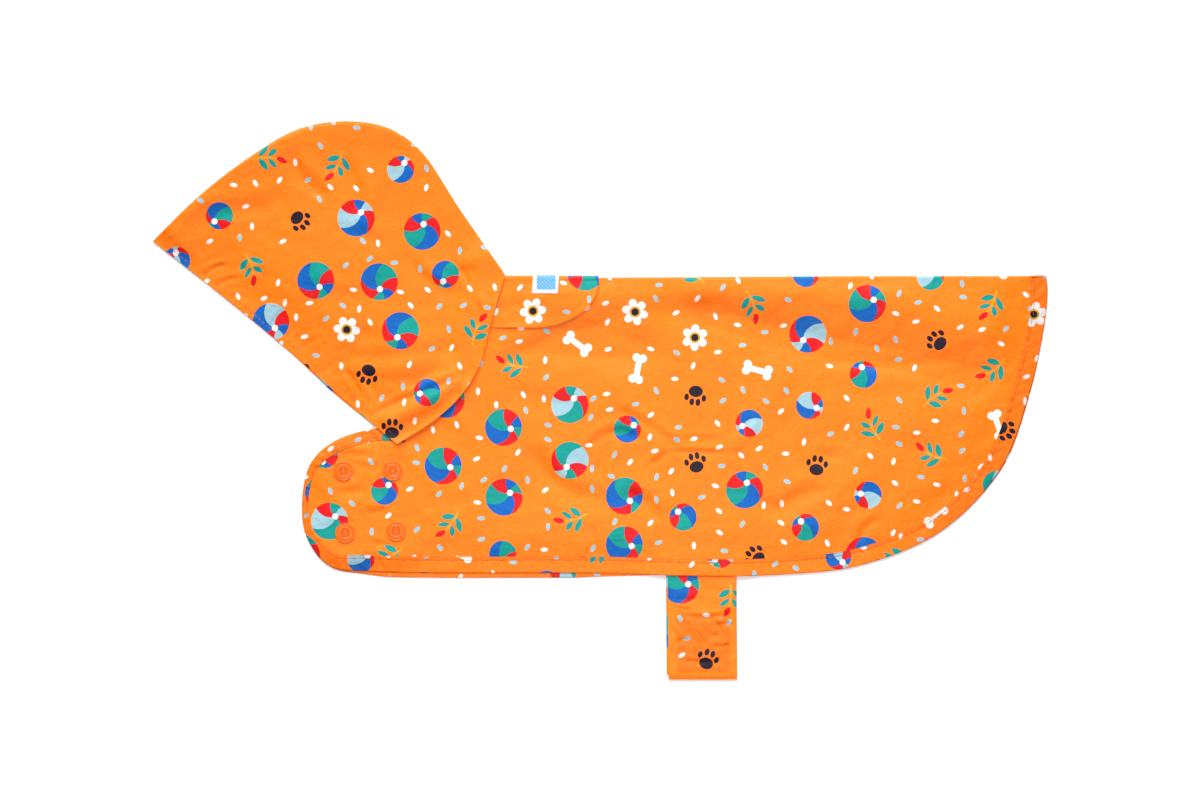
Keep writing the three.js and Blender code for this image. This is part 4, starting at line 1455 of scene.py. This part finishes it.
# %% Label
LABEL_LEFT = -43.3
LABEL_RIGHT = -26.5
LABEL_DEPTH = 9.2
LABEL_COLUMNS = 20
LABEL_ROWS = 18
LABEL_WALL = 0.3
LABEL_OUT = STEP + FLAP_WALL
LABEL_SINK = 0.3
LABEL_LEAN = 0.9  # it leans a little, as it was sewn on
LEAF_PART = 0.75  # share of its rows that lie on the flap's near side


def place_label(u, v):
    x = mix(LABEL_LEFT, LABEL_RIGHT, u) + LABEL_LEAN * (v - 1)
    y0 = back_fold(x)[0]
    leaf_part = np.clip(v / LEAF_PART, 0, 1)
    turn = np.clip((v - LEAF_PART) / (1 - LEAF_PART), 0, 1)
    points = on_fold(x, math.pi / 2 * (1 - turn), LABEL_OUT)
    near = np.column_stack([x, y0 - LABEL_DEPTH * (1 - leaf_part)])
    height = near_z(near) + LABEL_OUT - LABEL_SINK * (1 - leaf_part)
    on_leaf = v < LEAF_PART
    points[on_leaf] = np.column_stack([near, height])[on_leaf]
    flat = np.column_stack([x - mix(LABEL_LEFT, LABEL_RIGHT, 0.5), points[:, 1] - y0])
    return points, flat


label_grid = (LABEL_COLUMNS, LABEL_ROWS, place_label)
label = make_sheet("label_cloth", label_material, label_grid, wall=LABEL_WALL)

# %% [markdown]
# ## The belly straps
#
# Each strap is a doubled band, sewn inside its half of the body, that comes out under the hem.
# A patch of hook-and-loop tape is sewn to its hidden side. What shows of the patch is a shallow
# outline and the puckers round it, with a painted shade over it.

# %% Straps
FAR_STRAP_SHORTER = 3
FAR_STRAP_SHIFT = -1.2
STRAP_LEAN = 1.2  # to the right, from the top to the end
STRAP_WALL = 0.6
STRAP_PUFF = 0.7  # how far the tape under the free end lifts the near strap
STRAP_LEAST = 0.68  # from one strap to the next, where they are pressed together
STRAP_PRESS = 0.1  # how softly the strap comes to rest there
# How dark the painted shade over the tape is.
TAPE_SHADE = 0.5
# Below the hem the near strap comes down from between the body's halves.
STRAP_DROP_START = -117
STRAP_DROP = 14
STRAP_COLUMNS = 40
STRAP_ROWS = 130
STRAP_CREASED = 1.5
STRAP_CREASES = [
    (0.5, 1.6, (45, -137), (56, -140), (66, -141), (88, -139)),
    (0.4, 1.5, (47, -134), (54, -136), (62, -137)),
    (0.35, 1.4, (56, -138), (57, -148), (60, -158)),
    (0.45, 1.5, (78, -133), (83, -141), (87, -149)),
    (0.35, 1.3, (74, -146), (81, -145), (88, -148)),
    (0.4, 1.4, (70, -140), (77, -146), (80, -156)),
    (0.35, 1.3, (60, -147), (66, -155), (66, -165)),
    (0.35, 1.3, (82, -156), (84, -163), (88, -168)),
    (0.35, 1.3, (46, -147), (50, -154), (51, -162)),
    (0.3, 1.2, (48, -157), (54, -155), (60, -157)),
    (0.3, 1.4, (66, -146), (72, -152), (80, -153)),
    (0.3, 1.3, (72, -158), (78, -160), (87, -158)),
    (0.3, 1.3, (62, -162), (64, -168), (62, -175)),
    (0.3, 1.4, (50, -168), (67, -170), (84, -169)),
    (0.25, 3, (58, -124), (72, -122), (86, -121)),
    (0.2, 2.4, (46, -130), (60, -129), (72, -131)),
]
PATCH_LOW = np.array((49.5, -176.5))
PATCH_HIGH = np.array((84, -139))


def in_patch(points):
    """Distance inside the tape's outline, below 0 outside it."""
    return np.minimum(points - PATCH_LOW, PATCH_HIGH - points).min(axis=1)


def strap_wave(points):
    inner = in_patch(points)
    over = outside(points, PATCH_LOW, PATCH_HIGH)
    edge = np.where(over > 0, over, inner)
    patch_edge = 0.2 * smooth(inner / 1.6) - 0.14 * bell(edge / 1.2)
    crumple = ripples(points, 5, 0.1) + ripples(points, 1.9, 0.13, turn=1) * smooth(inner / 3)
    return STRAP_CREASED * creases(points, STRAP_CREASES) + crumple + patch_edge


def tape_shade(u, v):
    """Painted shade: a darker patch over the tape behind the free end."""
    x = STRAP_X + STRAP_WIDTH * (u - 0.5)
    points = np.column_stack([x, mix(STRAP_END, STRAP_TOP, v)])
    return TAPE_SHADE * smooth(in_patch(points) / 3 + 0.5)


def strap_placer(layer, end, shift):
    """A function that places a strap's grid. Layer 0 is the far strap and 1 the near one."""

    def place(u, v):
        y = mix(end, STRAP_TOP, v)
        x = STRAP_X + shift + STRAP_WIDTH * (u - 0.5) + STRAP_LEAN * (0.5 - v)
        flat = np.column_stack([x, y])
        inside = smooth((y - STRAP_DROP_START + STRAP_DROP) / STRAP_DROP)
        edge = np.minimum(u, 1 - u) * STRAP_WIDTH
        z = FAR_MID + STRAP_LIFT + (layer + inside) * STRAP_STEP
        free = smooth(edge / 4) * smooth((y - end) / 3) * (1 - inside)
        z += (STRAP_PUFF + strap_wave(flat)) * free * layer
        z = above(z, FAR_MID + STRAP_LIFT + layer * STRAP_LEAST, STRAP_PRESS)
        printed = print_place(flat, turn=97, shift=(30 * (layer + 1), 71))
        return np.column_stack([flat, z]), printed

    return place


def make_strap(name, placer, *seam):
    grid = (STRAP_COLUMNS, STRAP_ROWS, placer, *seam)
    return make_sheet(name, printed_cloth, grid, wall=STRAP_WALL)


far_placer = strap_placer(0, STRAP_END + FAR_STRAP_SHORTER, FAR_STRAP_SHIFT)
strap_near = make_strap("strap_near_cloth", strap_placer(1, STRAP_END, 0), tape_shade)
strap_far = make_strap("strap_far_cloth", far_placer)

# %% [markdown]
# ## Snaps
#
# The chest closes with four plastic press snaps. A cap is turned on a lathe, so it is a profile
# that is spun round an axis. `bmesh.ops.spin` does that; the first and last copy are merged, and
# so are the vertices on the axis.

# %% Snap material
SNAP_SHADE = 0.4  # how much painted shade darkens the plastic where a ring is deep
snap_plastic, tree, shader = new_material("snap plastic")
values = {"Vector": add_node(tree, "ShaderNodeTexCoord", output="Object"), "Scale": 900.0}
grain = add_node(tree, "ShaderNodeTexNoise", values)
s = Sums(tree)
painted_ring_shade = add_node(tree, "ShaderNodeAttribute", output="Fac", attribute_name="seam")
paint = s.paint(grain, colour(294, 119, 4), colour(306, 134, 12))
# Painted shade in the deep rings and under the rim.
light = s.minus(1.0, s.times(painted_ring_shade, SNAP_SHADE))
tree.links.new(s.vector("SCALE", paint, Scale=light), shader.inputs["Base Color"])
values = {"Height": grain, "Strength": 0.2, "Distance": 0.0001}
tree.links.new(add_node(tree, "ShaderNodeBump", values), shader.inputs["Normal"])
shader.inputs["Roughness"].default_value = 0.34
shader.inputs["Specular IOR Level"].default_value = 0.3

# %% Snap caps
# The cap's profile. Columns: radius, height, and how much painted shade it gets.
CAP_SECTION = [
    (0.001, 0.62, 0),
    (0.8, 0.58, 0),
    (1.1, 0.5, 0.2),
    (1.25, 0.14, 0.8),
    (1.6, 0.12, 0.8),
    (1.75, 0.5, 0.5),
    (2.1, 0.55, 0.4),
    (2.35, 0.5, 0.5),
    (2.5, 0.14, 0.8),
    (2.75, 0.12, 0.8),
    (2.95, 0.5, 0.1),
    (3.6, 0.58, 0),
    (4.5, 0.56, 0),
    (4.75, 0.44, 0.2),
    (4.9, 0.16, 0.5),
    (5.2, 0.14, 0.5),
    (5.35, 0.44, 0.1),
    (5.8, 0.5, 0),
    (6.15, 0.44, 0.3),
    (SNAP_RADIUS - 0.1, 0.3, 0.9),
    (SNAP_RADIUS, 0.1, 0.9),
    (6.2, -0.1, 0.9),
    (0.001, -0.12, 0.9),
]
SPIN_STEPS = 48
CAP_WELD = 0.004


def snap_cap(number, x, y):
    bm = bmesh.new()
    # The seam attribute carries the rings' painted shade.
    shade_layer = bm.verts.layers.float.new("seam")
    base = CHEST_MID + WALL / 2
    section = []
    for radius, height, shade in CAP_SECTION:
        vert = bm.verts.new(Vector((x + radius, y, base + height)) * MM)
        vert[shade_layer] = shade
        section.append(vert)
    edges = [bm.edges.new(pair) for pair in zip(section, section[1:])]
    bmesh.ops.spin(
        bm,
        geom=section + edges,
        cent=Vector((x, y, 0)) * MM,
        axis=(0, 0, 1),
        angle=math.tau,
        steps=SPIN_STEPS,
        use_merge=True,
    )
    bmesh.ops.remove_doubles(bm, verts=bm.verts, dist=CAP_WELD * MM)
    bmesh.ops.recalc_face_normals(bm, faces=bm.faces)
    return new_piece(f"snap_{number}", bm, snap_plastic)


caps = [snap_cap(k + 1, x, y) for k, (x, y) in enumerate(SNAPS)]
print(len(caps), "caps of", len(caps[0].data.polygons), "faces")

# %% [markdown]
# ## Stitches
#
# Topstitching shows as a row of short threads, each pulled into the cloth at both ends. One
# thread is a small stretched ball with few faces, and a row is the same thread set again and
# again along a line.

# %% Thread
STITCH_PITCH = 3.2
STITCH_LENGTH = 2.5
THREAD_RADIUS = 0.17
THREAD_FLATNESS = 0.8
thread_material, tree, shader = new_material("thread")
values = {"Vector": add_node(tree, "ShaderNodeTexCoord", output="Object"), "Scale": 1500.0}
fuzz = add_node(tree, "ShaderNodeTexNoise", values)
s = Sums(tree)
paint = s.paint(fuzz, colour(226, 84, 8), colour(250, 108, 16))
tree.links.new(paint, shader.inputs["Base Color"])
shader.inputs["Roughness"].default_value = 0.7


def stitch_row(name, points):
    """Lays a thread between each two points of a row, on cloth that faces up."""
    bm = bmesh.new()
    half = (STITCH_LENGTH / 2, THREAD_RADIUS, THREAD_RADIUS * THREAD_FLATNESS, 1)
    thread = Matrix.Scale(MM, 4) @ Matrix.Diagonal(half) @ Matrix.Rotation(math.pi / 2, 4, "Y")
    for start, end in zip(points, points[1:]):
        ahead = Vector(end - start).normalized()
        up = (Vector((0, 0, 1)) - ahead * ahead.z).normalized()
        turn = Matrix((ahead, up.cross(ahead), up)).transposed().to_4x4()
        place = Matrix.Translation(Vector((start + end) / 2) * MM) @ turn @ thread
        bmesh.ops.create_uvsphere(bm, u_segments=6, v_segments=5, radius=1, matrix=place)
    row = new_piece(name, bm, thread_material)
    print(name, len(row.data.polygons), "faces")
    return row


# %% Rows of stitches
shares = section_line[:, 0] / USUAL_WIDTH
stitch_v = np.interp(STITCH_SHARE, shares, travelled(section_line)) / section_length
hem_steps = np.arange(6, tail_end, STITCH_PITCH)
across = np.full(len(hem_steps), stitch_v)
hem_row = strip_place(hem_steps, across, 0, near_z, 1)[0] + (0, 0, 0.2)
hem_stitches = stitch_row("hem_stitches", hem_row)

edge_steps = np.arange(4, travelled(opening)[-1] - 6, STITCH_PITCH)
hood_row = beside(opening, edge_steps, -HOOD_STITCHES_IN)
hood_row = np.column_stack([hood_row, hood_z(hood_row) + WALL / 2])
hood_stitches = stitch_row("hood_stitches", hood_row)

# %% [markdown]
# ## Each piece on the rigid body, in its node's place
#
# Each piece rides on the one rigid body, and the frame's nodes that it stands for are hidden.

# %% Pieces, nodes and slots
# Columns: piece, the nodes it stands for, slot.
PIECES = [
    (body, ["body"], "printed_cloth"),
    (hem_strip, ["hem_strip"], "strip_cloth"),
    (far_strip, [], "strip_cloth"),
    (hood_near, ["hood_near"], "printed_cloth"),
    (hood_far, ["hood_far"], "printed_cloth"),
    (flap, ["flap"], "printed_cloth"),
    (label, ["label"], "woven_label"),
    (strap_near, ["strap_near"], "printed_cloth"),
    (strap_far, ["strap_far"], "printed_cloth"),
    *((cap, [f"snap_cap_{k + 1}"], "snap_plastic") for k, cap in enumerate(caps)),
    (hem_stitches, [], "strip_cloth"),
    (hood_stitches, [], "strip_cloth"),
]
for piece, nodes, slot in PIECES:
    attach(piece, "root")
    if nodes:
        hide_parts(*nodes)

for k in range(len(SNAPS)):
    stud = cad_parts[f"snap_stud_{k + 1}"]
    stud.data.materials.clear()
    stud.data.materials.append(snap_plastic)
